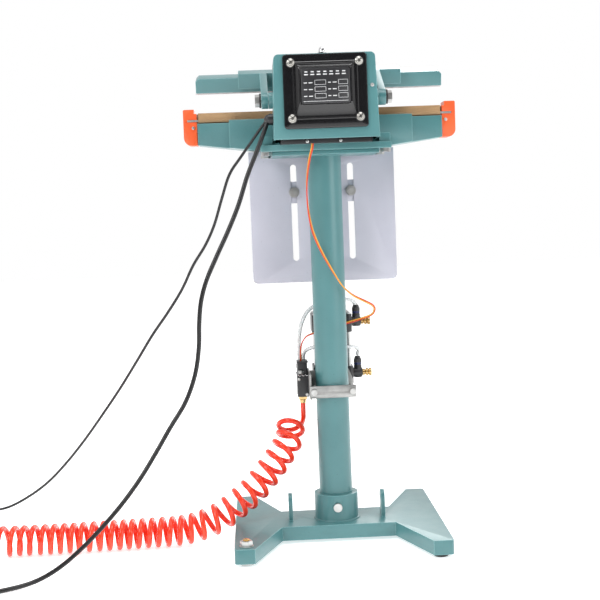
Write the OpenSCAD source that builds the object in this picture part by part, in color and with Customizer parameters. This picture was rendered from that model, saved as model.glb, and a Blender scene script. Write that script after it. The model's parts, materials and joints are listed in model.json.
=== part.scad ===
// Pedestal impulse heat sealer with a pneumatic jaw drive.
// The column axis is X = 0, Y = 0 and the feet stand on Z = 0.
// +Y is the operator's side, where the jaws are; -Y is the rear, with the transformer housing.

/* [Base] */
// Width of the base over its tips
base_w = 310; // [260:1:380]
// Depth of the base over its tips
base_d = 318; // [260:1:390]
// Width of the middle bar of the base
bar_w = 170; // [150:1:210]
// Depth of the middle bar of the base
bar_d = 96; // [84:1:120]
// Width of each tip of the base
tip_w = 29; // [26:1:36]
// Thickness of the base casting
base_h = 21; // [17:1:26]
// Height of the feet under the base
foot_h = 5; // [4:0.5:8]
// Height of the collar that holds the column
collar_h = 40; // [32:1:50]

/* [Column] */
// Outside diameter of the column tube
column_d = 50; // [42:1:60]
// Wall of the column tube
column_wall = 3; // [2:0.5:6]
// Free height of the column above the base
column_h = 551; // [480:1:680]

/* [Head] */
// Width of the head base plate
plate_w = 189; // [182:1:230]
// Thickness of the head base plate
plate_h = 9; // [7:0.5:12]
// Width of the transformer housing at its bottom
housing_w = 152; // [142:1:152]
// Height of the transformer housing
housing_h = 120; // [116:1:145]
// Wall of the transformer housing
housing_wall = 3; // [2:0.5:4]

/* [Jaws] */
// Length of both jaws
jaw_len = 380; // [330:1:500]
// Depth of both jaws from rear to front
jaw_depth = 44; // [40:1:52]
// Height of the upper jaw beam
upper_jaw_h = 22; // [18:1:28]
// Angle that the upper jaw stands open at rest
open_angle = 13.9; // [10:0.1:15]
// Diameter of the two pivot bolts
pivot_d = 10; // [8:1:12]
// Thickness of the silicone pressing strip
strip_h = 4; // [3:0.5:6]
// Width of the orange end caps
cap_w = 21; // [18:1:26]

/* [Drive] */
// Width over the square cylinder caps
cylinder_w = 62; // [50:1:62]
// Height of the whole cylinder
cylinder_h = 109; // [95:1:130]
// Diameter of the pull rod
rod_d = 10; // [8:1:12]
// Diameter of the pin that joins the rod to the upper jaw
pin_d = 8; // [6:1:10]

/* [Apron and shelf] */
// Width of the slotted apron plate
apron_w = 227; // [200:1:260]
// Length of the apron plate below the lower jaw
apron_h = 206; // [180:1:240]
// Length of the two adjusting slots
slot_len = 150; // [120:1:160]
// Distance between the two slots
slot_gap = 89; // [76:1:100]
// Diameter of the shelf bolts
shelf_bolt_d = 8; // [6:1:10]
// Depth of the work shelf towards the operator
shelf_d = 150; // [100:1:220]

/* [Clearances] */
// Radial running clearance of pins and shafts
running = 0.05; // [0.02:0.01:0.1]
// Gap between parts that move past each other
gap = 0.4; // [0.3:0.1:1]

/* [Hidden] */
$fn = 48;

// Heights, from the floor up
base_top = foot_h + base_h;
column_top = base_top + column_h;
top_plate_h = 6;
plate_z = column_top + top_plate_h;
plate_top = plate_z + plate_h;
tray_h = 6;
housing_z = plate_top + tray_h;
housing_top = housing_z + housing_h;
jaw_bottom = plate_top - 2;
beam_top = jaw_bottom + 46;
block_top = jaw_bottom + 49;
seal_z = jaw_bottom + 62.6;

// Plan places
plate_rear = -67;
plate_front = 46;
housing_rear = -92;
housing_front = -4;
block_rear = 48;
jaw_rear = 66;
jaw_front = jaw_rear + jaw_depth;
heater_rear = jaw_rear + 8;
heater_front = jaw_front - 4;
rail_in = 78;
rail_out = plate_w / 2 - 0.5;

// Pivot and drive
pivot_y = -38;
pivot_z = plate_top + 66.5;
arm_in = 81;
arm_out = 91;
drive_x = 5;
bracket_t = 5;
drive_y = max(62, column_d / 2 + bracket_t + gap + cylinder_w / 2);
pin_reach = (drive_y - pivot_y) / cos(open_angle / 2);
rod_travel = 2 * pin_reach * sin(open_angle / 2);
pin_open_z = pivot_z + rod_travel / 2;
pin_closed_z = pivot_z - rod_travel / 2;
lug_gap = 18;
lug_t = 5.5;
block_low = seal_z + 12.4;
block_high = seal_z + 34.8;
strip_z = seal_z + gap;
beam_z = strip_z + strip_h;

// Cylinder
cylinder_z = base_top + 199.5;
cylinder_top = cylinder_z + cylinder_h;
cap_h = 28;
piston_rod_d = 16;
nose_h = 6;
nut_h = 25;
nut_z = cylinder_top + nose_h + rod_travel + 4;
flow_x = drive_x + cylinder_w / 2;

// Apron and shelf
apron_t = 2;
apron_y = heater_rear;
apron_top = jaw_bottom;
apron_z = apron_top - apron_h;
slot_z = apron_z + 109;
slot_w = shelf_bolt_d + 1.2;
shelf_z = slot_z + 32;
flange_h = 34;
flange_t = 4;

// Cord diameters and routes, each a list of chosen points
power_cord_d = 6.5;
pedal_lead_d = 4.3;
air_tube_d = 6;
lead_d = 3.4;
hose_coil_d = 46;
hose_tube_d = 8;
power_route = [
    [-84, -72, 624], [-92, -76, 604], [-103, -81, 578], [-116, -86, 548], [-130, -90, 508],
    [-146, -93, 472], [-164, -96, 436], [-180, -99, 402], [-189, -100, 372],
    [-193, -100, 340], [-195, -100, 306], [-202, -101, 268], [-217, -105, 230],
    [-240, -111, 195], [-262, -118, 160], [-285, -127, 126], [-310, -138, 95],
    [-336, -152, 68], [-365, -168, 42], [-396, -184, 20], [-428, -200, 7],
    [-465, -219, 3.5], [-500, -231, 3.5], [-529, -236, 3.5], [-545, -232, 3.5],
    [-556, -221, 3.5], [-559.5, -205, 3.5], [-559.5, -176, 3.5]
];
pedal_route = [
    [-84, -55, 629], [-92, -53, 620], [-107, -50, 600], [-124, -45, 578],
    [-142, -40, 553], [-155, -31, 518], [-168, -20, 480], [-183, -10, 450],
    [-203, -1, 420], [-222, 10, 384], [-245, 22, 350], [-272, 38, 314],
    [-300, 55, 272], [-330, 77, 228], [-364, 102, 182], [-398, 128, 138],
    [-434, 156, 96], [-470, 182, 60], [-508, 204, 32], [-546, 220, 12],
    [-585, 226, 4.5], [-620, 218, 4.5], [-642, 196, 4.5], [-648, 168, 8],
    [-648, 148, 14]
];
hose_leg = [
    [-44, 40, 186], [-44, 41, 177], [-44, 44.5, 169.5], [-44.5, 49, 163]
];
hose_route = [
    [-64.5, 49, 163], [-65, 40, 151], [-70, 33, 141], [-77, 26, 129], [-87, 19, 116],
    [-100, 11, 101], [-115, 4, 84.5], [-131, -4, 70], [-147.5, -12, 59], [-164, -20, 48],
    [-181, -25, 39], [-199, -28, 32], [-218, -30, 27], [-242, -31.5, 24], [-275, -33, 23.4],
    [-315, -36, 23.4], [-359, -39, 23.4], [-405, -42, 23.4], [-455, -44, 23.4],
    [-506, -44, 23.4]
];
hose_tail = [
    [-506, -44, 23.4], [-521, -43.5, 19], [-535, -43, 12.5], [-548, -42.5, 9.6],
    [-558, -42, 9], [-568, -42, 9]
];
lead_route = [
    [-20, -76, 597], [-21, -75, 586], [-25, -68, 571], [-29, -60, 546], [-30, -52, 519], [-28, -46, 492],
    [-23, -40, 466], [-13, -34, 440], [-2, -32, 418], [9, -31, 398], [20, -29, 381],
    [35, -18, 367], [54, 0, 356], [67, 14, 348], [71, 26, 340], [66, 30, 332],
    [47, 28.3, 326], [27, 28, 321], [0, 28, 314], [-25, 28, 307], [-36, 30, 302],
    [-43, 32, 291], [-45, 33, 278], [-45, 34, 264]
];
upper_tube_route = [
    [-47, 56, 262], [-47, 52, 280], [-46, 44, 300], [-42, 37, 322], [-32, 33, 341],
    [-16, 34, 351], [4, 38, 355], [24, 46, 356], [38, 56, 354], [45, 62, 346]
];
lower_tube_route = [
    [-40, 56, 262], [-40, 50, 272], [-36, 40, 280], [-26, 31.5, 285], [-8, 29.5, 287],
    [12, 29.5, 286], [28, 32, 284], [40, 42, 282], [46, 54, 276], [45, 62, 268]
];

// ---- helpers ----

// A block given by its two corners on each axis
module block(x, y, z) {
    translate([x[0], y[0], z[0]])
        cube([x[1] - x[0], y[1] - y[0], z[1] - z[0]]);
}

// Round bars along each axis, from a start point
module bar_x(p, d, len) {
    translate(p) rotate([0, 90, 0]) cylinder(d = d, h = len);
}

module bar_y(p, d, len) {
    translate(p) rotate([-90, 0, 0]) cylinder(d = d, h = len);
}

module bar_z(p, d, len) {
    translate(p) cylinder(d = d, h = len);
}

// Hexagon bars, given by the size across the flats
module hex_z(p, flats, len) {
    translate(p) cylinder(d = flats / cos(30), h = len, $fn = 6);
}

module hex_y(p, flats, len) {
    translate(p) rotate([-90, 0, 0]) cylinder(d = flats / cos(30), h = len, $fn = 6);
}

module hex_x(p, flats, len) {
    translate(p) rotate([0, 90, 0]) cylinder(d = flats / cos(30), h = len, $fn = 6);
}

// Both sides of the machine
module both_sides() {
    children();
    mirror([1, 0, 0]) children();
}

// Points of an arc in a plane outline
function arc(c, r, a0, a1, n = 6) =
    [for (i = [0 : n]) c + r * [cos(a0 + (a1 - a0) * i / n), sin(a0 + (a1 - a0) * i / n)]];

// An outline in X and Z, extruded along Y
module slab_y(points, y0, y1) {
    translate([0, y1, 0]) rotate([90, 0, 0]) linear_extrude(y1 - y0) polygon(points);
}

// An outline in Y and Z, extruded along X
module slab_x(points, x0, x1) {
    translate([x0, 0, 0]) rotate([90, 0, 90]) linear_extrude(x1 - x0) polygon(points);
}

// A rounded rectangle between two corners
function round_rect(x0, x1, y0, y1, r) = concat(
    arc([x1 - r, y1 - r], r, 0, 90), arc([x0 + r, y1 - r], r, 90, 180),
    arc([x0 + r, y0 + r], r, 180, 270), arc([x1 - r, y0 + r], r, 270, 360));

// Everything that the upper jaw carries is drawn closed and turned open here
module opened() {
    translate([0, pivot_y, pivot_z]) rotate([open_angle, 0, 0])
        translate([0, -pivot_y, -pivot_z]) children();
}

// A round tube along a route, swept as one solid
function unit(v) = v / norm(v);
function way(p, i) = unit(p[min(i + 1, len(p) - 1)] - p[max(i - 1, 0)]);
function square_to(u, t) = unit(u - (u * t) * t);
function across(p, i) = i == 0 ?
    square_to(abs(way(p, 0)[2]) < 0.8 ? [0, 0, 1] : [0, 1, 0], way(p, 0)) :
    square_to(across(p, i - 1), way(p, i));
module tube(p, d, sides = 8) {
    rings = len(p);
    points = [for (i = [0 : rings - 1]) let (u = across(p, i), v = cross(way(p, i), u))
        for (k = [0 : sides - 1])
            p[i] + d / 2 * (u * cos(360 * k / sides) + v * sin(360 * k / sides))];
    walls = [for (i = [0 : rings - 2]) for (k = [0 : sides - 1]) let (m = (k + 1) % sides)
        [i * sides + k, i * sides + m, (i + 1) * sides + m, (i + 1) * sides + k]];
    first = [for (k = [0 : sides - 1]) sides - 1 - k];
    last = [for (k = [0 : sides - 1]) (rings - 1) * sides + k];
    polyhedron(points, concat(walls, [first, last]), convexity = 6);
}

// ---- base and column ----

tip_inner = base_w / 2 - tip_w;
tip_r = 5;
foot_inset = 17;
foot_d = 22;
function foot_at(sx, sy) = [sx * (base_w / 2 - foot_inset), sy * (base_d / 2 - foot_inset)];

module base_casting() {
    half = [[tip_inner, base_d / 2], [bar_w / 2, bar_d / 2]];
    outline = concat(
        arc([base_w / 2 - tip_r, base_d / 2 - tip_r], tip_r, 0, 90), half,
        [for (p = [half[1], half[0]]) [-p[0], p[1]]],
        arc([-base_w / 2 + tip_r, base_d / 2 - tip_r], tip_r, 90, 180),
        arc([-base_w / 2 + tip_r, -base_d / 2 + tip_r], tip_r, 180, 270),
        [for (p = half) [-p[0], -p[1]]], [for (p = [half[1], half[0]]) [p[0], -p[1]]],
        arc([base_w / 2 - tip_r, -base_d / 2 + tip_r], tip_r, 270, 360));
    lug_x = bar_w / 2 - 17.5;
    color("cadetblue") difference() {
        union() {
            translate([0, 0, foot_h]) linear_extrude(base_h) polygon(outline);
            bar_z([0, 0, foot_h], column_d + 16, base_h + collar_h);
            both_sides() {
                block([lug_x, lug_x + 6], [-11, 11], [base_top - 1, base_top + 29]);
                bar_x([lug_x, 0, base_top + 29], 22, 6);
            }
        }
        // bore for the column, stepped so that the tube stands on a ledge
        bar_z([0, 0, foot_h + 4], column_d, base_h + collar_h);
        bar_z([0, 0, foot_h - 1], column_d - 12, base_h);
        both_sides() bar_x([lug_x - 1, 0, base_top + 29], 8.2, 8);
        bar_y([0, -column_d / 2 - 9, base_top + collar_h * 0.56], 10, 12);
        bar_y([0, -column_d / 2 - 12, base_top + collar_h * 0.56], 14, 4.6);
        translate(foot_at(-1, -1)) bar_z([0, 0, foot_h - 1], 10, base_h + 2);
    }
}

module rubber_feet() {
    color("black") for (s = [[1, 1], [1, -1], [-1, 1]])
        translate(foot_at(s[0], s[1]))
            rotate_extrude() polygon([[0, 0], [foot_d / 2 - 2, 0], [foot_d / 2, foot_h], [0, foot_h]]);
}

module levelling_foot() {
    color("silver") translate(foot_at(-1, -1)) {
        bar_z([0, 0, 0], foot_d - 4, foot_h);
        bar_z([0, 0, foot_h], 10, base_h + 11);
        hex_z([0, 0, base_top + 1.6], 16, 7);
        bar_z([0, 0, base_top], 20, 1.6);
    }
}

module column_tube() {
    color("cadetblue") difference() {
        bar_z([0, 0, foot_h + 4], column_d, column_top - foot_h - 4);
        bar_z([0, 0, foot_h], column_d - 2 * column_wall, column_top);
    }
}

module column_top_plate() {
    half = bolt_x - 8.6;
    color("cadetblue") block([-half, half], [-50, plate_front - 2], [column_top, plate_z]);
}

// ---- head ----

bolt_x = plate_w / 2 - 7.5;
bolt_ys = [-55, 30];
bolt_d = 8;

module head_base_plate() {
    color("cadetblue") difference() {
        block([-plate_w / 2, plate_w / 2], [plate_rear, plate_front], [plate_z, plate_top]);
        both_sides() for (y = bolt_ys) bar_z([bolt_x, y, plate_z - 1], bolt_d, plate_h + 2);
    }
}

// Head bolts from below, the collar bolt, and the two clamp bolts of the cylinder bracket
clamp_x = column_d / 2 + 4;
clamp_half = column_d / 2 + 9;
clamp_z = cylinder_z - 1.5;
clamp_bar_h = 18;
clamp_t = 6;
bolt_engage = 11;
module hex_bolts() {
    color("silver") {
        both_sides() for (y = bolt_ys) {
            hex_z([bolt_x, y, plate_z - 5.5], 13, 5.5);
            bar_z([bolt_x, y, plate_z - 5.5], bolt_d, plate_h + 5.5 + bolt_engage);
        }
        bar_y([0, -column_d / 2 - 8, base_top + collar_h * 0.56], 10, 8);
        bar_y([0, -column_d / 2 - 12, base_top + collar_h * 0.56], 13, 4.6);
        both_sides() {
            bar_y([clamp_x, -column_d / 2 - clamp_t - 3.5, clamp_z], 9, 3.5);
            bar_y([clamp_x, -column_d / 2 - clamp_t - 1, clamp_z], 5,
                  column_d + clamp_t + bracket_t);
        }
    }
}

notch_w = lug_gap + 2 * lug_t + 5;
block_half = jaw_len / 2 - 49;
flat_half = plate_w / 2 - 2.5;
jaw_rise = 13;
function under_z(x) =
    jaw_bottom + jaw_rise * max(0, x - flat_half) / (jaw_len / 2 - flat_half);
lug_len = 11;

module lower_jaw() {
    half = jaw_len / 2;
    color("cadetblue") difference() {
        union() {
            slab_y([[-half, beam_top], [-half, under_z(half)], [-flat_half, jaw_bottom],
                    [flat_half, jaw_bottom], [half, under_z(half)], [half, beam_top]],
                   jaw_rear, jaw_front);
            slab_y([[-block_half, block_top], [-block_half, under_z(block_half)],
                    [-flat_half, jaw_bottom], [flat_half, jaw_bottom],
                    [block_half, under_z(block_half)], [block_half, block_top]],
                   block_rear, jaw_rear + 1);
            both_sides() {
                block([rail_in, rail_out], [-60, block_rear + 1], [plate_top, plate_top + 13]);
                block([half - 1, half + lug_len], [jaw_rear + 12, jaw_front - 12],
                      [beam_top - 12, beam_top - 1]);
            }
        }
        // notch that the drive passes through
        block([drive_x - notch_w / 2, drive_x + notch_w / 2], [block_rear - 1, drive_y + 9.6],
              [jaw_bottom - 1, block_top + 1]);
        both_sides() for (y = bolt_ys)
            bar_z([bolt_x, y, plate_top - 1], bolt_d, bolt_engage + 1);
    }
}

tray_screws = [-28, 20];
module head_tray() {
    color("black") difference() {
        block([-66, 66], [-82, -10], [plate_top, housing_z]);
        bar_z([-20, -76, plate_top - 1], lead_d + 2, tray_h + 2);
    }
}

// The housing narrows a little towards its top
draft = 3.5;
function housing_half(z) = housing_w / 2 - draft * (z - housing_z) / housing_h;
module housing_outline(inset, y0, y1, low, high) {
    b = housing_half(housing_z) - inset;
    t = housing_half(housing_top) - inset;
    r = max(7 - inset, 2);
    slab_y(concat([[-b, low], [b, low]], arc([t - r, high - r], r, 0, 90),
                  arc([-t + r, high - r], r, 90, 180)), y0, y1);
}

cover_half = 60;
cover_z = housing_z + 14;
cover_h = 105;
panel_half = 58;
panel_low = housing_z + 8;
panel_high = housing_top - 14;
cap_nut_y = -40;
boss_d = 24;
module head_housing() {
    color("cadetblue") difference() {
        union() {
            difference() {
                housing_outline(0, housing_rear, housing_front, housing_z, housing_top);
                housing_outline(housing_wall, housing_rear + housing_wall,
                                housing_front - housing_wall, housing_z - 1,
                                housing_top - housing_wall);
            }
            both_sides()
                bar_x([housing_half(pivot_z) - 9, pivot_y, pivot_z], boss_d,
                      arm_in - gap - housing_half(pivot_z) + 9);
        }
        block([-cover_half + 10, cover_half - 10], [housing_rear - 1, housing_rear + 5],
              [cover_z + 12, cover_z + cover_h - 12]);
        block([-panel_half + 6, panel_half - 6], [housing_front - 5, housing_front + 1],
              [panel_low + 6, panel_high - 6]);
        both_sides() bar_x([0, pivot_y, pivot_z], pivot_d, 100);
        bar_z([0, cap_nut_y, housing_top - 10], 6, 20);
        for (y = gland_ys)
            bar_x([-housing_w / 2 - 5, y, gland_z], 10, 15);
    }
}

module rear_cover() {
    mid = cover_z + cover_h / 2;
    color([0.08, 0.08, 0.09]) difference() {
        union() {
            slab_y(round_rect(-cover_half, cover_half, cover_z, cover_z + cover_h, 4),
                   housing_rear - 4, housing_rear);
            slab_y(round_rect(-45, 45, cover_z + 14, cover_z + cover_h - 12, 4),
                   housing_rear - 7, housing_rear - 3);
            slab_y(round_rect(-39, 39, mid - 22, cover_z + cover_h - 14, 3),
                   housing_rear - 9, housing_rear - 6);
        }
        block([-40, 40], [housing_rear - 3, housing_rear + 1], [cover_z + 18, cover_z + cover_h - 16]);
    }
}

cover_screw_x = 48.5;
cover_screw_low = cover_z + 14.5;
cover_screw_high = cover_z + cover_h - 12;
cap_screw_z = beam_top - 6;
module panel_screws() {
    color("silver") {
        both_sides() {
            for (z = [cover_screw_low, cover_screw_high])
                bar_y([cover_screw_x, housing_rear - 6.4, z], 6.4, 2.4);
            bar_y([jaw_len / 2 + 7, heater_rear - 3.6, cap_screw_z], 5, 1.6);
            bar_z([60, jaw_rear + 24, apron_top - apron_t - 2], 8, 2);
        }
        for (x = tray_screws) bar_y([x, -84, plate_top + 3], 4, 2);
        bar_y([67, housing_rear - 1.6, housing_z + 73], 5, 1.6);
    }
}

plate_low = cover_z + 33;
plate_high = cover_z + 85;
module data_plate() {
    color("gainsboro") slab_y(round_rect(-34, 36, plate_low, plate_high, 3),
                              housing_rear - 9.6, housing_rear - 9);
}

module top_cap_nut() {
    color("silver") {
        bar_z([0, cap_nut_y, housing_top], 15.6, 1.4);
        hex_z([0, cap_nut_y, housing_top + 1.4], 10, 4);
        translate([0, cap_nut_y, housing_top + 5.4]) intersection() {
            sphere(d = 10);
            cylinder(d = 12, h = 8);
        }
        bar_z([0, cap_nut_y, housing_top - 12], 6, 13);
        hex_z([0, cap_nut_y, housing_top - housing_wall - 5], 10, 5);
    }
}

core_x = 32;
core_y = [-81, -43];
core_z = [housing_z, housing_z + 58];
leg_w = 12;
window_h = 34;
module transformer_core() {
    color("dimgray") difference() {
        block([-core_x, core_x], core_y, core_z);
        for (s = [-1, 1])
            block([s * 17 - 9, s * 17 + 9], [core_y[0] - 1, core_y[1] + 1],
                  [core_z[0] + leg_w, core_z[0] + leg_w + window_h]);
    }
}

module transformer_coil() {
    low = core_z[0] + leg_w + 1;
    high = low + window_h - 2;
    color("goldenrod") difference() {
        block([-24, 24], [core_y[0] - 6, core_y[1] + 7], [low, high]);
        block([-8.2, 8.2], [core_y[0] - 0.2, core_y[1] + 0.2], [low - 1, high + 1]);
    }
}

module timer_board() {
    board_z = housing_z + 66;
    color("darkgreen") {
        block([-60, 60], [-84, -48], [board_z, board_z + 1.6]);
        block([-52, -32], [-80, -58], [board_z + 1.6, board_z + 18]);
        block([20, 50], [-78, -64], [board_z + 1.6, board_z + 12]);
        for (x = [-16, -4, 8]) bar_z([x, -68, board_z + 1.6], 8, 14);
    }
}

panel_t = 2;
knob_ys = housing_front + panel_t;
knob_z = panel_high - 24;
knob_x = [-30, 12];
switch_x = 42;
module control_panel() {
    color("black") difference() {
        slab_y(round_rect(-panel_half, panel_half, panel_low, panel_high, 4),
               housing_front, housing_front + panel_t);
        for (x = knob_x) bar_y([x, housing_front - 1, knob_z], 6 + 2 * running, 4);
        block([switch_x - 7, switch_x + 7], [housing_front - 1, housing_front + 4],
              [knob_z - 12, knob_z + 12]);
    }
}

// Rocker with a convex back that turns about X
module power_switch() {
    color("firebrick") intersection() {
        bar_x([switch_x - 6.5, knob_ys - 8, knob_z], 27, 13);
        block([switch_x - 6.5, switch_x + 6.5], [knob_ys - 10, knob_ys + 4],
              [knob_z - 9.4, knob_z + 9.4]);
    }
}

module timer_knob(x) {
    difference() {
        union() {
            bar_y([x, knob_ys - 14, knob_z], 6, 16);
            bar_y([x, knob_ys + gap, knob_z], 20, 3);
            bar_y([x, knob_ys + gap + 2.5, knob_z], 16, 11);
        }
        block([x - 0.8, x + 0.8], [knob_ys + 12.6, knob_ys + 15], [knob_z, knob_z + 9]);
    }
}

module heat_knob() {
    color("darkorange") timer_knob(knob_x[0]);
}

module cool_knob() {
    color("steelblue") timer_knob(knob_x[1]);
}

// ---- sealing parts of the lower jaw ----

module heater_bar() {
    half = jaw_len / 2;
    color("saddlebrown") difference() {
        block([-half, half], [heater_rear, heater_front], [beam_top, seal_z - 1.4]);
        block([-half - 1, half + 1], [heater_rear + 12, heater_rear + 18],
              [seal_z - 1.9, seal_z]);
    }
}

module heating_element() {
    half = jaw_len / 2 + lug_len - 4;
    color("silver") {
        block([-half, half], [heater_rear + 12.3, heater_rear + 17.7],
              [seal_z - 1.9, seal_z - 1.3]);
    }
}

fold_h = 5;
module ptfe_sheet() {
    half = jaw_len / 2 - 1;
    color("peru") difference() {
        union() {
            block([-half, half], [heater_rear - 1, heater_front + 1],
                  [beam_top + 2, seal_z]);
            block([-half, half], [heater_rear - 2, heater_front + 2],
                  [beam_top + 2, beam_top + 2 + fold_h]);
        }
        block([-half - 1, half + 1], [heater_rear, heater_front], [beam_top, seal_z - 1.3]);
        for (y = [heater_rear - 1.6, heater_front])
            block([-half - 1, half + 1], [y, y + 1.6], [beam_top + 3.4, beam_top + 6.4]);
    }
}

module clamp_strips() {
    color("silver") for (y = [heater_rear - 1.6, heater_front])
        block([-jaw_len / 2 - 16, jaw_len / 2 + 16], [y, y + 1.6],
              [beam_top + 3.4, beam_top + 6.4]);
}

cap_gap = 1.2;
cap_low = jaw_bottom + jaw_rise;
cap_high = seal_z + 6;
module end_caps() {
    x0 = jaw_len / 2 + cap_gap;
    x1 = x0 + cap_w;
    outline = concat([[x0, cap_low], [x1 - 12, cap_low]],
                     arc([x1 - 12, cap_low + 12], 12, 270, 360),
                     arc([x1 - 2, cap_high - 2], 2, 0, 90, 3),
                     [[x0 + 4, cap_high], [x0 + 4, seal_z - 0.6], [x0, seal_z - 0.6]]);
    color("orangered") both_sides() difference() {
        slab_y(outline, heater_rear - 2 + 1, heater_front - 1 + 2);
        block([x0 - 1, x1 - 3], [heater_rear + 2, heater_front - 2], [cap_low + 4, seal_z - 4]);
        block([x0 - 1, x1 - 5], [heater_rear - 1.9, heater_rear + 0.1],
              [beam_top + 3.2, beam_top + 6.6]);
        block([x0 - 1, x1 - 5], [heater_front - 0.1, heater_front + 1.9],
              [beam_top + 3.2, beam_top + 6.6]);
        // slot for the heating ribbon
        block([x0 - 1, x1 - 12], [heater_rear + 12, heater_rear + 18],
              [seal_z - 2.2, seal_z - 1]);
    }
}

module element_terminals() {
    x0 = jaw_len / 2 + cap_gap + 0.3;
    color("goldenrod") both_sides()
        block([x0, x0 + 11], [heater_rear + 9, heater_rear + 21], [beam_top, seal_z - 5]);
}

// ---- upper jaw, drawn closed and turned open ----

cross_half = 124;
cross_rear = 45;
module upper_jaw() {
    half = jaw_len / 2;
    ch = 4;
    arm_front = jaw_rear + 6;
    boss = boss_d / 2;
    color("cadetblue") opened() difference() {
        union() {
            slab_y([[-half, beam_z], [half, beam_z], [half, beam_z + upper_jaw_h - ch],
                    [half - ch, beam_z + upper_jaw_h], [-half + ch, beam_z + upper_jaw_h],
                    [-half, beam_z + upper_jaw_h - ch]], jaw_rear, jaw_front);
            block([-cross_half, cross_half], [cross_rear, jaw_rear + 20],
                  [block_low, block_high]);
            both_sides() {
                slab_x(concat(arc([pivot_y, pivot_z], boss, 110, 290, 12),
                              [[cross_rear, block_low], [arm_front, block_low],
                               [arm_front, block_high], [cross_rear - 4, block_high]]),
                       arm_in, arm_out);
                bar_x([arm_in, pivot_y, pivot_z], boss_d, arm_out - arm_in);
            }
            for (s = [-1, 1]) {
                x = drive_x + s * (lug_gap / 2 + lug_t / 2);
                block([x - lug_t / 2, x + lug_t / 2], [drive_y - 8, drive_y + 8],
                      [pin_closed_z, block_low + 1]);
                bar_x([x - lug_t / 2, drive_y, pin_closed_z], 16, lug_t);
            }
        }
        both_sides() bar_x([arm_in - 1, pivot_y, pivot_z], pivot_d + 2 * running, 20);
        bar_x([drive_x - 30, drive_y, pin_closed_z], pin_d, 60);
    }
}

module silicone_strip() {
    half = jaw_len / 2 + 1;
    color("mistyrose") opened()
        block([-half, half], [heater_rear + 5, heater_rear + 25], [strip_z, beam_z]);
}

washer_t = 2.6;
module pivot_bolts() {
    inside = housing_half(pivot_z) - 9;
    head_x = arm_out + 0.4 + washer_t;
    color("silver") both_sides() {
        bar_x([inside, pivot_y, pivot_z], pivot_d, head_x - inside + 1);
        hex_x([head_x, pivot_y, pivot_z], 16, 6.4);
    }
}

module pivot_washers() {
    color("black") both_sides() difference() {
        bar_x([arm_out + 0.4, pivot_y, pivot_z], 21, washer_t);
        bar_x([arm_out, pivot_y, pivot_z], pivot_d, washer_t + 1);
    }
}

module clevis_pin() {
    over = lug_gap / 2 + lug_t + 2;
    color("silver") opened() {
        bar_x([drive_x - over, drive_y, pin_closed_z], pin_d, 2 * over);
        bar_x([drive_x - over - 2, drive_y, pin_closed_z], pin_d + 4, 2);
    }
}

// ---- drive ----

eye_w = lug_gap - 2;
eye_slack = 1.6;
module rod_eye() {
    slot_h = pin_d + 2 * running;
    color("silver") difference() {
        union() {
            bar_x([drive_x - eye_w / 2, drive_y, pin_open_z], 15.4, eye_w);
            block([drive_x - 7, drive_x + 7], [drive_y - 7, drive_y + 7],
                  [pin_open_z - 30, pin_open_z]);
        }
        for (s = [-1, 1])
            bar_x([drive_x - 20, drive_y + s * eye_slack / 2, pin_open_z], slot_h, 40);
        block([drive_x - 20, drive_x + 20], [drive_y - eye_slack / 2, drive_y + eye_slack / 2],
              [pin_open_z - slot_h / 2, pin_open_z + slot_h / 2]);
        bar_z([drive_x, drive_y, pin_open_z - 31], rod_d, 18);
    }
}

module pull_rod() {
    color("silver") bar_z([drive_x, drive_y, nut_z + nut_h / 2], rod_d,
                          pin_open_z - 13 - nut_z - nut_h / 2);
}

module rod_nuts() {
    color("silver") difference() {
        union() {
            hex_z([drive_x, drive_y, nut_z], 14, nut_h);
            hex_z([drive_x, drive_y, pin_open_z - 36], 14, 6);
        }
        bar_z([drive_x, drive_y, nut_z - 1], rod_d, nut_h + 2);
        bar_z([drive_x, drive_y, pin_open_z - 37], rod_d, 8);
    }
}

piston_h = 14;
bore_d = cylinder_w - 12;
piston_z = cylinder_top - cap_h - piston_h - 3;
module piston_rod() {
    color("silver") {
        bar_z([drive_x, drive_y, piston_z], bore_d - 2 * running, piston_h);
        bar_z([drive_x, drive_y, piston_z], piston_rod_d, nut_z - piston_z);
        bar_z([drive_x, drive_y, piston_z], rod_d, nut_z + nut_h / 2 - piston_z);
    }
}

module cylinder_tube() {
    color("silver") difference() {
        bar_z([drive_x, drive_y, cylinder_z + cap_h], cylinder_w - 6, cylinder_h - 2 * cap_h);
        bar_z([drive_x, drive_y, cylinder_z], bore_d, cylinder_h);
    }
}

module cap_block(z) {
    h = cylinder_w / 2;
    translate([drive_x, drive_y, z]) linear_extrude(cap_h) polygon(round_rect(-h, h, -h, h, 6));
}

module cylinder_caps() {
    color([0.12, 0.12, 0.13]) {
        difference() {
            union() {
                cap_block(cylinder_top - cap_h);
                bar_z([drive_x, drive_y, cylinder_top], 30, nose_h);
            }
            bar_z([drive_x, drive_y, cylinder_top - cap_h - 1], piston_rod_d + 2 * running,
                  cap_h + nose_h + 2);
        }
        cap_block(cylinder_z);
    }
}

// A back plate with sloping corners, a shelf for the cylinder and a cheek for the valve
module cylinder_bracket() {
    low = clamp_z - 12;
    high = clamp_z + 26;
    color("gray") difference() {
        union() {
            slab_y([[-clamp_half, low], [clamp_half, low], [clamp_half, clamp_z + 10],
                    [clamp_half - 6, high], [-clamp_half, high]],
                   column_d / 2, column_d / 2 + bracket_t);
            block([-clamp_half, clamp_half], [column_d / 2, drive_y + cylinder_w / 2 - 4],
                  [cylinder_z - 6, cylinder_z]);
            block([-clamp_half - 1, -clamp_half + 1.5], [-column_d / 2, drive_y], [low, high]);
        }
        both_sides() bar_y([clamp_x, 0, clamp_z], 5, 60);
    }
}

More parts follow.
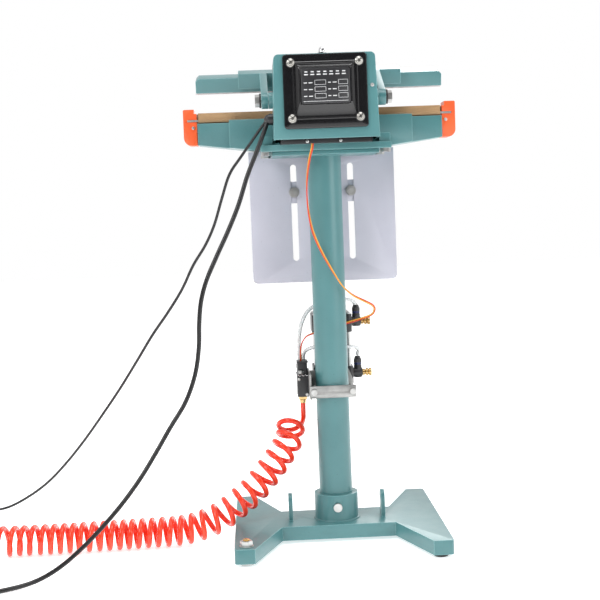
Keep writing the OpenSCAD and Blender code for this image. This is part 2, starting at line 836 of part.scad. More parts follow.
module clamp_bar() {
    color("gray") difference() {
        block([-clamp_half - 1, clamp_half], [-column_d / 2 - clamp_t, -column_d / 2],
              [clamp_z - clamp_bar_h / 2, clamp_z + clamp_bar_h / 2]);
        both_sides() bar_y([clamp_x, -column_d / 2 - clamp_t - 2, clamp_z], 5, clamp_t + 4);
    }
}

flow_zs = [cylinder_z + 14, cylinder_top - 14];
module flow_controls() {
    color([0.12, 0.12, 0.13]) for (z = flow_zs) difference() {
        union() {
            bar_x([flow_x, drive_y, z], 15, 16);
            bar_z([flow_x + 9, drive_y, z], 11, 24);
        }
        bar_x([flow_x + 6, drive_y, z], 5 + 2 * running, 12);
    }
}

module flow_knob(z) {
    difference() {
        union() {
            bar_x([flow_x + 7, drive_y, z], 5, 13);
            bar_x([flow_x + 16 + gap, drive_y, z], 13, 14);
        }
        bar_x([flow_x + 28.4, drive_y, z], 5, 3);
    }
}

module upper_flow_knob() {
    color("goldenrod") flow_knob(flow_zs[1]);
}

module lower_flow_knob() {
    color("goldenrod") flow_knob(flow_zs[0]);
}

// ---- valve and pipework ----

valve_x = [-column_d / 2 - 27, -column_d / 2 - 10];
valve_y = [22, 62];
valve_z = cylinder_z - 15.5;
valve_h = 32;
module valve_body() {
    color([0.12, 0.12, 0.13]) {
        block(valve_x, valve_y, [valve_z, valve_z + valve_h]);
        for (x = [valve_x[0] + 5, valve_x[1] - 5]) bar_z([x, 56, valve_z + valve_h], 9, 18);
    }
}

module valve_coil() {
    color("black") block([valve_x[0] + 1, valve_x[1] - 1], [valve_y[0] + 2, valve_y[0] + 25],
                         [valve_z + valve_h, valve_z + valve_h + 22]);
}

module hose_inlet() {
    color("goldenrod") {
        hex_z([-44, 40, valve_z - 6], 12, 6);
        bar_z([-44, 40, valve_z - 12], 10, 6);
    }
}

module air_tubes() {
    color("whitesmoke") {
        tube(upper_tube_route, air_tube_d);
        tube(lower_tube_route, air_tube_d);
    }
}

module solenoid_lead() {
    color("red") tube(lead_route, lead_d);
}

// ---- apron and shelf ----

module apron_plate() {
    half = apron_w / 2;
    r = 8;
    color("lightgray") difference() {
        union() {
            slab_y(concat([[half, apron_top - apron_t], [-half, apron_top - apron_t]],
                          arc([-half + r, apron_z + r], r, 180, 270),
                          arc([half - r, apron_z + r], r, 270, 360)),
                   apron_y, apron_y + apron_t);
            block([-half, half], [apron_y, apron_y + 30], [apron_top - apron_t, apron_top]);
        }
        both_sides() {
            for (z = [slot_z - slot_len / 2 + slot_w / 2, slot_z + slot_len / 2 - slot_w / 2])
                bar_y([slot_gap / 2, apron_y - 1, z], slot_w, apron_t + 2);
            block([slot_gap / 2 - slot_w / 2, slot_gap / 2 + slot_w / 2],
                  [apron_y - 1, apron_y + apron_t + 1],
                  [slot_z - slot_len / 2 + slot_w / 2, slot_z + slot_len / 2 - slot_w / 2]);
        }
    }
}

shelf_half = apron_w / 2 - 8;
shelf_y = apron_y + apron_t + gap;
shelf_t = 3;
module work_shelf() {
    low = shelf_z - flange_h / 2;
    high = shelf_z + flange_h / 2;
    color("lightgray") difference() {
        union() {
            block([-shelf_half, shelf_half], [shelf_y, shelf_y + flange_t], [low, high]);
            block([-shelf_half, shelf_half], [shelf_y, shelf_y + shelf_d], [high - shelf_t, high]);
            block([-shelf_half, shelf_half], [shelf_y + shelf_d - 2, shelf_y + shelf_d],
                  [high - 14, high]);
            both_sides()
                slab_x([[shelf_y + 1, low], [shelf_y + 90, high - 2], [shelf_y + 1, high - 2]],
                       shelf_half - 26, shelf_half - 23);
        }
        both_sides() bar_y([slot_gap / 2, shelf_y - 1, shelf_z], shelf_bolt_d, flange_t + 2);
    }
}

module shelf_bolts() {
    front = shelf_y + flange_t;
    color("silver") both_sides() {
        bar_y([slot_gap / 2, apron_y - 12, shelf_z], shelf_bolt_d, front - apron_y + 12);
        hex_y([slot_gap / 2, front, shelf_z], 13, 5.3);
        bar_y([slot_gap / 2, apron_y - gap - 1.6, shelf_z], 16, 1.6);
        hex_y([slot_gap / 2, apron_y - gap - 8.1, shelf_z], 13, 6.5);
    }
}

// ---- cords, foot switch and hose ----

gland_ys = [-72, -56];
gland_z = housing_z + 31;
module cable_glands() {
    color("black") for (i = [0, 1]) translate([0, gland_ys[i], 0]) {
        bar_x([-housing_w / 2 + housing_wall - 8, 0, gland_z], 10, 11);
        bar_x([-housing_w / 2 - 6, 0, gland_z], 15, 6.4);
        translate([-housing_w / 2 - 6, 0, gland_z]) sphere(d = 13);
    }
}

module power_cord() {
    color("black") tube(power_route, power_cord_d, 10);
}

coil_at = [-600, -150, 0];
coil_mid_d = 74;
coil_tube_d = 22;
module power_cord_coil() {
    color("black") translate(coil_at) rotate_extrude()
        polygon(round_rect(coil_mid_d / 2 - coil_tube_d / 2, coil_mid_d / 2 + coil_tube_d / 2,
                           0.2, 20, 6));
}

// The plug lies flat on the floor beside the coil, at the end of a short free stretch
plug_at = [coil_at[0] - coil_mid_d / 2 - 3.4, coil_at[1] - 72, 11];
module power_plug() {
    color("black") translate(plug_at) {
        bar_y([0, 25, 0], power_cord_d, 20);
        rotate([90, 0, 0]) translate([0, 0, -26]) cylinder(d1 = 9, d2 = 14, h = 27);
        block([-15, 15], [-36, 0], [-11, 11]);
        for (x = [-9.5, 9.5]) bar_y([x, -55, 0], 4.8, 20);
    }
}

module pedal_lead() {
    color("black") tube(pedal_route, pedal_lead_d, 8);
}

switch_at = [-648, 100, 0];
switch_half = 33;
switch_l = 96;
pedal_pin = 5;
cheek_t = 3;
pedal_pivot = [switch_at[0], switch_at[1] + 38, 27];
module foot_switch_base() {
    out = switch_half + gap + cheek_t + 1;
    color("dimgray") {
        translate(switch_at) difference() {
            slab_x([[-switch_l / 2, 0], [switch_l / 2, 0], [switch_l / 2, 36], [30, 36],
                    [26, 20], [-switch_l / 2, 12]], -switch_half, switch_half);
            block([-switch_half + 5, switch_half - 5], [-40, 24], [6, 60]);
        }
        bar_x(pedal_pivot - [out, 0, 0], pedal_pin, 2 * out);
    }
}

// A sloping tread with two cheeks that turn on the pin
module foot_switch_pedal() {
    y = switch_at[1];
    pin_y = pedal_pivot[1];
    out = switch_half + gap + cheek_t;
    color("orange") translate([switch_at[0], 0, 0]) difference() {
        union() {
            slab_x([[y - 46, 23], [y + 22, 38], [pin_y + 6, 41], [pin_y + 6, 46],
                    [y + 20, 43], [y - 46, 29]], -out, out);
            for (s = [-1, 1]) {
                x = s * (out - cheek_t / 2);
                block([x - cheek_t / 2, x + cheek_t / 2], [pin_y - 7, pin_y + 6],
                      [pedal_pivot[2], 42]);
                bar_x([x - cheek_t / 2, pin_y, pedal_pivot[2]], 13, cheek_t);
            }
        }
        bar_x([-out - 1, pin_y, pedal_pivot[2]], pedal_pin + 2 * running, 2 * out + 2);
    }
}

module air_hose() {
    color("red") {
        tube(concat([[-44, 40, valve_z - 12]], hose_leg), hose_tube_d);
        tube(hose_route, hose_coil_d, 12);
        tube(hose_tail, hose_tube_d);
    }
}

module hose_connector() {
    color("goldenrod") {
        bar_x([-612, -42, 9], 14, 44);
        hex_x([-600, -42, 9], 15, 14);
    }
}

base_casting();
rubber_feet();
levelling_foot();
column_tube();
column_top_plate();
head_base_plate();
hex_bolts();
lower_jaw();
head_tray();
head_housing();
rear_cover();
panel_screws();
data_plate();
top_cap_nut();
transformer_core();
transformer_coil();
timer_board();
control_panel();
power_switch();
heat_knob();
cool_knob();
heater_bar();
heating_element();
ptfe_sheet();
clamp_strips();
end_caps();
element_terminals();
upper_jaw();
silicone_strip();
pivot_bolts();
pivot_washers();
clevis_pin();
rod_eye();
pull_rod();
rod_nuts();
piston_rod();
cylinder_tube();
cylinder_caps();
cylinder_bracket();
clamp_bar();
flow_controls();
upper_flow_knob();
lower_flow_knob();
valve_body();
valve_coil();
hose_inlet();
air_tubes();
solenoid_lead();
apron_plate();
work_shelf();
shelf_bolts();
cable_glands();
power_cord();
power_cord_coil();
power_plug();
pedal_lead();
foot_switch_base();
foot_switch_pedal();
air_hose();
hose_connector();
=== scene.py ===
# %% [markdown]
# # Pedestal impulse heat sealer
# This lesson dresses a finished CAD model of a pedestal heat sealer. The CAD model already holds every
# size, every joint and every bore, so nothing in it is moved here. Blender adds what a drawing lacks:
# rounded casting edges, enamel, moulded plastic, cords that sag and a coiled hose.

# %% Tools
import math

import bmesh
import bpy
from mathutils import Matrix, Vector
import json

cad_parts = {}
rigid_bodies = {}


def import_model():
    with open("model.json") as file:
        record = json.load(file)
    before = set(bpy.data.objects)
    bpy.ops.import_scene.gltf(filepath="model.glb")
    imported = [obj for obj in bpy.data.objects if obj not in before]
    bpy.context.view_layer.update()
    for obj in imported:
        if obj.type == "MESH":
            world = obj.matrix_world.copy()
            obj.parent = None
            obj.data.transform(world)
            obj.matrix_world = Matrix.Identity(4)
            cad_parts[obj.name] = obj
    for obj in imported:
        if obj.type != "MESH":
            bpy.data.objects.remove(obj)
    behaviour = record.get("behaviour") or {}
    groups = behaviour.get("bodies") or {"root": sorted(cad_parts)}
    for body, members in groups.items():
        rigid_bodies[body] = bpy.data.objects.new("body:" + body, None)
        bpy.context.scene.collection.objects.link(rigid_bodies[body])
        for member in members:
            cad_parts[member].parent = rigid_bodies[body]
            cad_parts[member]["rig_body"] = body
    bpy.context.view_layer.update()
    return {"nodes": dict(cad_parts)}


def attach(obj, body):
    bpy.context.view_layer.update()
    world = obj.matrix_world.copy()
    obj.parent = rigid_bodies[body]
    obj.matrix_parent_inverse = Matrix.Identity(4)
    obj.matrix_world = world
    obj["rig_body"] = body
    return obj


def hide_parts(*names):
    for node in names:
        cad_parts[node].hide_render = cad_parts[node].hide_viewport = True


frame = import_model()
nodes = frame["nodes"]
MM = 0.001

# %% [markdown]
# ## The camera
# A product picture is usually taken with a long lens from a few metres away, so that upright edges stay
# parallel. Here the camera stands 1.8 m behind the machine, a little lower than the jaws, and leans over by
# about two degrees. It is made first because the cords are laid out with the edge of its view in mind.

# %% Camera
CAMERA_PLACE = Vector((-0.1097, -1.8216, 0.4985))
CAMERA_YAW = 0.036
CAMERA_PITCH = -0.075
CAMERA_ROLL = -0.038
CAMERA_LENS = 72.46


def camera_axes(yaw, pitch, roll):
    """The camera's right, up and backward directions."""
    ahead = Vector((math.sin(yaw) * math.cos(pitch), math.cos(yaw) * math.cos(pitch), math.sin(pitch)))
    right = Vector((math.cos(yaw), -math.sin(yaw), 0.0))
    up = right.cross(ahead)
    rolled_right = right * math.cos(roll) + up * math.sin(roll)
    rolled_up = up * math.cos(roll) - right * math.sin(roll)
    return rolled_right, rolled_up, -ahead


camera_data = bpy.data.cameras.new("studio_camera")
camera_data.lens = CAMERA_LENS
camera_data.sensor_width = 36.0
camera_data.clip_end = 50.0
camera = bpy.data.objects.new("studio_camera", camera_data)
bpy.context.scene.collection.objects.link(camera)
right, up, back = camera_axes(CAMERA_YAW, CAMERA_PITCH, CAMERA_ROLL)
camera.matrix_world = Matrix.Translation(CAMERA_PLACE) @ Matrix((right, up, back)).transposed().to_4x4()
bpy.context.scene.camera = camera
print("camera", [round(v, 3) for v in camera.location], "lens", camera_data.lens)

# %% [markdown]
# ## Node materials
# Every finish below is worked out from the surface itself, with noise and bump, so it looks right from any
# side. One small helper builds the usual chain: a base colour that varies slowly, a fine grain in the
# roughness and a bump. Values that are the same all over are set straight on the shader, which keeps them
# when the model is exported.

# %% Material helper
def fresh_material(name):
    """An empty node material with its shader, and its node tree."""
    material = bpy.data.materials.new(name)
    material.use_nodes = True
    tree = material.node_tree
    shader = tree.nodes["Principled BSDF"]
    return material, tree, shader


def coordinates(tree, scale=(1.0, 1.0, 1.0)):
    """Object coordinates in metres, stretched along each axis."""
    place = tree.nodes.new("ShaderNodeTexCoord")
    mapping = tree.nodes.new("ShaderNodeMapping")
    mapping.inputs["Scale"].default_value = scale
    tree.links.new(place.outputs["Object"], mapping.inputs["Vector"])
    return mapping.outputs["Vector"]


def noise(tree, vector, scale, detail=4.0, roughness=0.55):
    """A noise texture's factor."""
    texture = tree.nodes.new("ShaderNodeTexNoise")
    texture.inputs["Scale"].default_value = scale
    texture.inputs["Detail"].default_value = detail
    texture.inputs["Roughness"].default_value = roughness
    tree.links.new(vector, texture.inputs["Vector"])
    return texture.outputs["Fac"]


def ramp(tree, factor, stops):
    """A colour ramp with the given (position, colour) stops."""
    node = tree.nodes.new("ShaderNodeValToRGB")
    elements = node.color_ramp.elements
    while len(elements) > len(stops):
        elements.remove(elements[-1])
    while len(elements) < len(stops):
        elements.new(0.5)
    for element, (position, colour) in zip(elements, stops):
        element.position = position
        element.color = (*colour, 1.0)
    tree.links.new(factor, node.inputs["Fac"])
    return node.outputs["Color"]


def spread_value(tree, factor, low, high):
    """Maps a 0 to 1 factor to a range."""
    node = tree.nodes.new("ShaderNodeMapRange")
    node.inputs["To Min"].default_value = low
    node.inputs["To Max"].default_value = high
    tree.links.new(factor, node.inputs["Value"])
    return node.outputs["Result"]


def mix_colour(tree, factor, first, second):
    """Mixes two colours, each a socket or a plain colour."""
    node = tree.nodes.new("ShaderNodeMix")
    node.data_type = "RGBA"
    sockets = [s for s in node.inputs if s.type == "RGBA"]
    for socket, value in zip(sockets, (first, second)):
        if isinstance(value, tuple):
            socket.default_value = (*value, 1.0)
        else:
            tree.links.new(value, socket)
    tree.links.new(factor, node.inputs["Factor"])
    return next(s for s in node.outputs if s.type == "RGBA")


def bump(tree, shader, height, strength, distance):
    """Adds a bump to the shader, on top of any that is there."""
    node = tree.nodes.new("ShaderNodeBump")
    node.inputs["Strength"].default_value = strength
    node.inputs["Distance"].default_value = distance
    tree.links.new(height, node.inputs["Height"])
    linked = shader.inputs["Normal"].links
    if linked:
        tree.links.new(linked[0].from_socket, node.inputs["Normal"])
    tree.links.new(node.outputs["Normal"], shader.inputs["Normal"])


def edge_highlight_and_wear_mask(tree, radius=0.0016, low=0.012, high=0.16):
    """Painted highlight along sharp edges and inner corners alike, partly standing for wear: white where a
    rounded normal leans away from the true one.
    """
    # The bevel normal leans away at inner corners as well as outer edges, so both get the painted highlight.
    geometry = tree.nodes.new("ShaderNodeNewGeometry")
    rounded_normal = tree.nodes.new("ShaderNodeBevel")
    rounded_normal.samples = 4
    rounded_normal.inputs["Radius"].default_value = radius
    product = tree.nodes.new("ShaderNodeVectorMath")
    product.operation = "DOT_PRODUCT"
    tree.links.new(geometry.outputs["Normal"], product.inputs[0])
    tree.links.new(rounded_normal.outputs["Normal"], product.inputs[1])
    node = tree.nodes.new("ShaderNodeMapRange")
    node.inputs["From Min"].default_value = 1.0 - low
    node.inputs["From Max"].default_value = 1.0 - high
    tree.links.new(product.outputs["Value"], node.inputs["Value"])
    return node.outputs["Result"]


# %% [markdown]
# ## Enamel
# The castings of such a machine are sprayed with a thick grey-green enamel. Thick enamel is never quite
# flat: it has an orange-peel ripple and pinholes. Its edges are painted a lighter tone, partly for enamel
# that thins out there and partly as a painted highlight. Two noises at different scales give the ripple
# and the slow colour drift, and a clear coat gives the soft shine.

# %% Enamel
def enamel(name, light, dark, edge, rough=(0.3, 0.46), ripple=0.35, coat=0.35):
    """Sprayed enamel over a casting; its edges and inner corners take the edge colour, partly wear and partly
    a painted highlight.
    """
    material, tree, shader = fresh_material(name)
    vector = coordinates(tree)
    drift = noise(tree, vector, 9.0, 3.0)
    tone = ramp(tree, drift, [(0.35, dark), (0.65, light)])
    specks = ramp(tree, noise(tree, vector, 260.0, 2.0), [(0.24, (0.55, 0.55, 0.55)),
                                                          (0.3, (1.0, 1.0, 1.0))])
    multiply = tree.nodes.new("ShaderNodeMix")
    multiply.data_type = "RGBA"
    multiply.blend_type = "MULTIPLY"
    multiply.inputs["Factor"].default_value = 0.35
    sockets = [s for s in multiply.inputs if s.type == "RGBA"]
    tree.links.new(tone, sockets[0])
    tree.links.new(specks, sockets[1])
    speckled = next(s for s in multiply.outputs if s.type == "RGBA")
    # Edges and inner corners take the edge colour: a painted highlight, partly also worn enamel.
    worn_and_highlit_tone = mix_colour(tree, edge_highlight_and_wear_mask(tree), speckled, edge)
    tree.links.new(worn_and_highlit_tone, shader.inputs["Base Color"])
    tree.links.new(spread_value(tree, noise(tree, vector, 30.0), *rough), shader.inputs["Roughness"])
    bump(tree, shader, noise(tree, vector, 420.0, 3.0), ripple, 0.0004)
    bump(tree, shader, noise(tree, vector, 60.0, 2.0), 0.18, 0.0012)
    shader.inputs["Coat Weight"].default_value = coat
    shader.inputs["Coat Roughness"].default_value = 0.22
    shader.inputs["Specular IOR Level"].default_value = 0.5
    return material


TEAL_LIGHT = (0.08, 0.228, 0.238)
TEAL_DARK = (0.066, 0.196, 0.207)
# The edge colour is a painted highlight, partly also thinned and worn enamel.
TEAL_EDGE_HIGHLIGHT = (0.23, 0.46, 0.47)
teal_enamel = enamel("teal_enamel", TEAL_LIGHT, TEAL_DARK, TEAL_EDGE_HIGHLIGHT)
grey_enamel = enamel("light_grey_enamel", (0.56, 0.56, 0.64), (0.5, 0.5, 0.58), (0.7, 0.7, 0.74),
                     ripple=0.25)
switch_enamel = enamel("switch_grey_enamel", (0.07, 0.075, 0.08), (0.045, 0.05, 0.055), (0.2, 0.2, 0.21))
print("enamels", teal_enamel.name, grey_enamel.name, switch_enamel.name)

# %% [markdown]
# ## Metals
# Zinc-plated fasteners are bright but cloudy, turned brass shows rings, and a drawn aluminium tube has
# lines along it. One function makes them all: stretched noise gives the direction of the tool marks, and a
# slow noise the tarnish.

# %% Metals
def metal(name, light, dark, rough=(0.2, 0.4), grain=(1.0, 1.0, 1.0), grain_scale=220.0, strength=0.12):
    """Bare or plated metal with tool marks along one direction."""
    material, tree, shader = fresh_material(name)
    cloud = noise(tree, coordinates(tree), 55.0, 5.0)
    tree.links.new(ramp(tree, cloud, [(0.3, dark), (0.7, light)]), shader.inputs["Base Color"])
    marks = noise(tree, coordinates(tree, grain), grain_scale, 5.0, 0.65)
    tree.links.new(spread_value(tree, marks, *rough), shader.inputs["Roughness"])
    bump(tree, shader, marks, strength, 0.0003)
    shader.inputs["Metallic"].default_value = 1.0
    return material


zinc = metal("zinc_plate", (0.66, 0.66, 0.65), (0.46, 0.46, 0.45), (0.22, 0.42))
screw_plate = metal("screw_plate", (0.5, 0.49, 0.46), (0.26, 0.25, 0.23), (0.2, 0.36))
chrome = metal("chrome_plate", (0.74, 0.74, 0.75), (0.6, 0.6, 0.61), (0.05, 0.14), strength=0.03)
ground_steel = metal("ground_steel", (0.82, 0.82, 0.83), (0.62, 0.62, 0.63), (0.08, 0.2), (1.0, 1.0, 14.0),
                     strength=0.06)
brass = metal("turned_brass", (0.83, 0.62, 0.3), (0.55, 0.36, 0.15), (0.18, 0.36), (14.0, 1.0, 1.0))
drawn_aluminium = metal("drawn_aluminium", (0.86, 0.87, 0.88), (0.66, 0.67, 0.69), (0.3, 0.48),
                        (6.0, 6.0, 0.4))
strip_aluminium = metal("strip_aluminium", (0.9, 0.9, 0.9), (0.7, 0.7, 0.7), (0.22, 0.4), (0.3, 8.0, 8.0))
bracket_zinc = metal("bracket_zinc", (0.46, 0.46, 0.45), (0.32, 0.32, 0.315), (0.36, 0.56),
                     (0.5, 5.0, 5.0), strength=0.2)
resistance_wire = metal("resistance_ribbon", (0.62, 0.58, 0.52), (0.42, 0.38, 0.34), (0.25, 0.45),
                        (0.3, 8.0, 8.0))
core_laminations = metal("core_laminations", (0.3, 0.3, 0.32), (0.12, 0.12, 0.13), (0.4, 0.6),
                         (1.0, 30.0, 1.0), 120.0, 0.6)
print("metals ready", len(bpy.data.materials))

# %% [markdown]
# ## Plastics, rubber and cable sheath
# Moulded plastic is smooth with a faint grain from the mould, and collects fine dust and scuffs. Its edges
# are lighter, partly from scuffs and handling and partly as a painted highlight. Rubber and cable sheath are
# duller.

# %% Plastics
def plastic(name, light, dark, rough=(0.28, 0.42), grain=500.0, strength=0.08, coat=0.0, see_through=0.0):
    """Moulded plastic or rubber with a fine grain."""
    material, tree, shader = fresh_material(name)
    vector = coordinates(tree)
    drift = noise(tree, vector, 24.0, 5.0)
    tone = ramp(tree, drift, [(0.3, dark), (0.7, light)])
    # Edges and inner corners are lightened: partly scuffs, partly a painted highlight.
    scuffed_and_highlit_tone = mix_colour(tree, edge_highlight_and_wear_mask(tree, 0.0008), tone,
                         tuple(min(1.0, c * 1.5 + 0.02) for c in light))
    tree.links.new(scuffed_and_highlit_tone, shader.inputs["Base Color"])
    tree.links.new(spread_value(tree, noise(tree, vector, 90.0), *rough), shader.inputs["Roughness"])
    bump(tree, shader, noise(tree, vector, grain, 3.0), strength, 0.0003)
    shader.inputs["Coat Weight"].default_value = coat
    shader.inputs["Coat Roughness"].default_value = 0.06
    shader.inputs["Transmission Weight"].default_value = see_through
    return material


cover_black = plastic("glossy_black_moulding", (0.007, 0.007, 0.008), (0.004, 0.004, 0.005), (0.1, 0.2),
                      120.0, 0.05, 0.5)
matt_black = plastic("satin_black_plastic", (0.03, 0.03, 0.033), (0.016, 0.016, 0.018))
rubber = plastic("black_rubber", (0.026, 0.026, 0.026), (0.012, 0.012, 0.012), (0.5, 0.7), 350.0, 0.2)
sheath = plastic("cable_sheath", (0.009, 0.009, 0.01), (0.005, 0.005, 0.006), (0.24, 0.36), 300.0, 0.1)
black_anodised = plastic("black_anodised", (0.03, 0.031, 0.034), (0.015, 0.015, 0.017), (0.26, 0.4), 800.0,
                         0.15)
orange_plastic = plastic("orange_moulding", (0.93, 0.14, 0.035), (0.84, 0.1, 0.025), (0.32, 0.45), 260.0,
                         0.1, 0.25)
pedal_orange = plastic("pedal_moulding", (0.8, 0.25, 0.03), (0.66, 0.18, 0.02), (0.4, 0.55), 180.0, 0.4)
red_rocker = plastic("red_rocker_lens", (0.72, 0.03, 0.02), (0.5, 0.015, 0.01), (0.12, 0.2), 200.0, 0.03,
                     0.6)
grey_knob = plastic("grey_knob_plastic", (0.09, 0.1, 0.11), (0.06, 0.065, 0.07), (0.3, 0.45))
hose_red = plastic("hose_polyurethane", (0.95, 0.05, 0.008), (0.88, 0.03, 0.005), (0.14, 0.26), 140.0,
                   0.04, 0.3)
clear_tube = plastic("milky_tube", (0.86, 0.88, 0.89), (0.76, 0.79, 0.8), (0.1, 0.2), 150.0, 0.03, 0.4,
                     0.35)
silicone = plastic("silicone_rubber", (0.66, 0.6, 0.61), (0.58, 0.53, 0.54), (0.5, 0.66), 300.0, 0.2)
red_wire = plastic("red_wire", (0.75, 0.06, 0.02), (0.6, 0.03, 0.01), (0.35, 0.5))
yellow_wire = plastic("yellow_wire", (0.85, 0.42, 0.04), (0.7, 0.3, 0.03), (0.35, 0.5))
winding_varnish = plastic("winding_varnish", (0.52, 0.26, 0.05), (0.36, 0.16, 0.03), (0.25, 0.4), 90.0, 0.5)
board_green = plastic("board_lacquer", (0.015, 0.14, 0.05), (0.01, 0.09, 0.03), (0.25, 0.4), 60.0, 0.2)
pale_print = plastic("pale_print", (0.72, 0.73, 0.74), (0.58, 0.59, 0.6), (0.4, 0.55))
print("plastics ready", len(bpy.data.materials))

# %% [markdown]
# ## Coated glass cloth
# The hot edge of an impulse sealer is covered with glass cloth coated in a slippery brown plastic. Under
# the coating the weave still shows, so two crossed wave textures make the threads, and slow stains darken
# the cloth where it has been heated.

# %% Glass cloth and phenolic
def glass_cloth(name):
    """Brown coated glass cloth with a visible plain weave."""
    material, tree, shader = fresh_material(name)
    heights = []
    for direction in ("X", "Z"):
        wave = tree.nodes.new("ShaderNodeTexWave")
        wave.bands_direction = direction
        wave.inputs["Scale"].default_value = 330.0
        wave.inputs["Distortion"].default_value = 0.6
        tree.links.new(coordinates(tree), wave.inputs["Vector"])
        heights.append(wave.outputs["Fac"])
    weave = tree.nodes.new("ShaderNodeMath")
    weave.operation = "MULTIPLY"
    tree.links.new(heights[0], weave.inputs[0])
    tree.links.new(heights[1], weave.inputs[1])
    stains = noise(tree, coordinates(tree, (1.0, 3.0, 5.0)), 22.0, 5.0)
    cloth = ramp(tree, stains, [(0.3, (0.3, 0.165, 0.07)), (0.7, (0.46, 0.275, 0.13))])
    threaded = mix_colour(tree, weave.outputs["Value"], cloth, (0.56, 0.36, 0.19))
    tree.links.new(threaded, shader.inputs["Base Color"])
    tree.links.new(spread_value(tree, stains, 0.35, 0.55), shader.inputs["Roughness"])
    bump(tree, shader, weave.outputs["Value"], 0.35, 0.0002)
    shader.inputs["Coat Weight"].default_value = 0.2
    return material


ptfe_cloth = glass_cloth("coated_glass_cloth")
phenolic = plastic("phenolic_board", (0.2, 0.09, 0.035), (0.13, 0.055, 0.02), (0.5, 0.65), 160.0, 0.3)

# %% [markdown]
# ## Dressing the CAD parts
# Most CAD parts already have the right shape and only need their finish. The table below pairs each part
# with the material it is really made of.

# %% Finishes for the CAD parts
FINISHES = {
    "rubber_feet": rubber, "levelling_foot": zinc, "hex_bolts": zinc, "panel_screws": zinc,
    "head_tray": matt_black,
    "data_plate": matt_black, "top_cap_nut": chrome, "transformer_core": core_laminations,
    "transformer_coil": winding_varnish, "timer_board": board_green, "control_panel": matt_black,
    "power_switch": red_rocker, "heat_knob": orange_plastic, "cool_knob": grey_knob, "heater_bar": phenolic,
    "heating_element": resistance_wire, "ptfe_sheet": ptfe_cloth, "clamp_strips": strip_aluminium,
    "end_caps": orange_plastic, "element_terminals": brass, "silicone_strip": silicone, "pivot_bolts": zinc,
    "pivot_washers": rubber, "clevis_pin": ground_steel, "rod_eye": zinc, "pull_rod": ground_steel,
    "rod_nuts": zinc, "piston_rod": ground_steel, "cylinder_tube": drawn_aluminium,
    "cylinder_caps": black_anodised, "cylinder_bracket": bracket_zinc, "clamp_bar": bracket_zinc,
    "flow_controls": matt_black, "upper_flow_knob": brass, "lower_flow_knob": brass,
    "valve_body": black_anodised,
    "valve_coil": matt_black, "hose_inlet": brass, "air_tubes": clear_tube, "solenoid_lead": yellow_wire,
    "apron_plate": grey_enamel, "work_shelf": grey_enamel, "shelf_bolts": zinc, "cable_glands": matt_black,
    "power_cord": sheath, "power_cord_coil": sheath, "power_plug": sheath, "pedal_lead": sheath,
    "foot_switch_base": switch_enamel, "foot_switch_pedal": pedal_orange, "air_hose": hose_red,
    "hose_connector": brass, "rear_cover": cover_black,
}


def dress(piece, material):
    """Gives a piece one material all over."""
    piece.data.materials.clear()
    piece.data.materials.append(material)


for node_name, node in nodes.items():
    dress(node, FINISHES.get(node_name, teal_enamel))
print("dressed", len(nodes), "parts")

# %% [markdown]
# ## Rounded edges
# A cast or pressed part has no knife edges: the mould and the paint leave a small radius that catches the
# light. Each such part is copied, its flat faces are joined up, and a bevel is cut along every sharp edge.
# The copy then stands for the CAD part, which stays below it for collision.

# %% Edge rounding
def body_of(node_name):
    """The name of the moving group that a CAD part belongs to."""
    return nodes[node_name]["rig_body"]


def smooth_faces(mesh):
    """Smooth shading on every face."""
    mesh.polygons.foreach_set("use_smooth", [True] * len(mesh.polygons))


def finished(piece, body, material, stands_for=()):
    """Puts a new piece on its body, with its finish."""
    dress(piece, material)
    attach(piece, body)
    if stands_for:
        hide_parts(*stands_for)
    return piece


def rounded(node_name, radius, material=None, segments=3, angle=30.0):
    """A copy of a CAD part with rounded edges, standing in its place."""
    source = nodes[node_name]
    mesh = source.data.copy()
    shape = bmesh.new()
    shape.from_mesh(mesh)
    bmesh.ops.remove_doubles(shape, verts=shape.verts, dist=1e-6)
    bmesh.ops.dissolve_limit(shape, angle_limit=math.radians(1.0), verts=shape.verts, edges=shape.edges)
    shape.to_mesh(mesh)
    shape.free()
    piece = bpy.data.objects.new(node_name + "_cast", mesh)
    bpy.context.scene.collection.objects.link(piece)
    smooth_faces(mesh)
    bevel = piece.modifiers.new("edge_radius", "BEVEL")
    bevel.width = radius
    bevel.segments = segments
    bevel.limit_method = "ANGLE"
    bevel.angle_limit = math.radians(angle)
    bevel.harden_normals = True
    bevel.use_clamp_overlap = True
    return finished(piece, body_of(node_name),
                    material or FINISHES.get(node_name, teal_enamel),
                    (node_name,))


CASTINGS = {
    "base_casting": 2.2, "column_top_plate": 1.2, "head_base_plate": 1.5, "lower_jaw": 1.8,
    "upper_jaw": 1.6,
    "head_housing": 1.2, "end_caps": 1.2, "cylinder_caps": 1.2, "apron_plate": 0.4, "work_shelf": 0.8,
    "clamp_bar": 0.8, "cylinder_bracket": 0.7, "valve_body": 0.7, "valve_coil": 1.2, "control_panel": 0.5,
    "power_switch": 0.5, "silicone_strip": 0.8, "head_tray": 0.6,
    "foot_switch_pedal": 1.2, "rod_eye": 0.6, "rod_nuts": 0.4,
    "clevis_pin": 0.4, "transformer_coil": 1.0, "ptfe_sheet": 0.5, "heater_bar": 0.4,
}
for node_name, radius in CASTINGS.items():
    rounded(node_name, radius * MM)
print("rounded", len(CASTINGS), "parts")

# %% [markdown]
# ## Cords and hose
# Two black cables leave the left side of the housing: the thick one is the mains lead, the thin one goes to
# the foot switch. Each is one smooth curve through points that a fitter would recognise: out of the gland,
# down under its own weight, then along the floor. The mains lead's spare length is wound up, as it is for
# storage.

# %% Cord routes
def metres(points):
    """A route in millimetres as vectors in metres."""
    return [Vector(p) * MM for p in points]


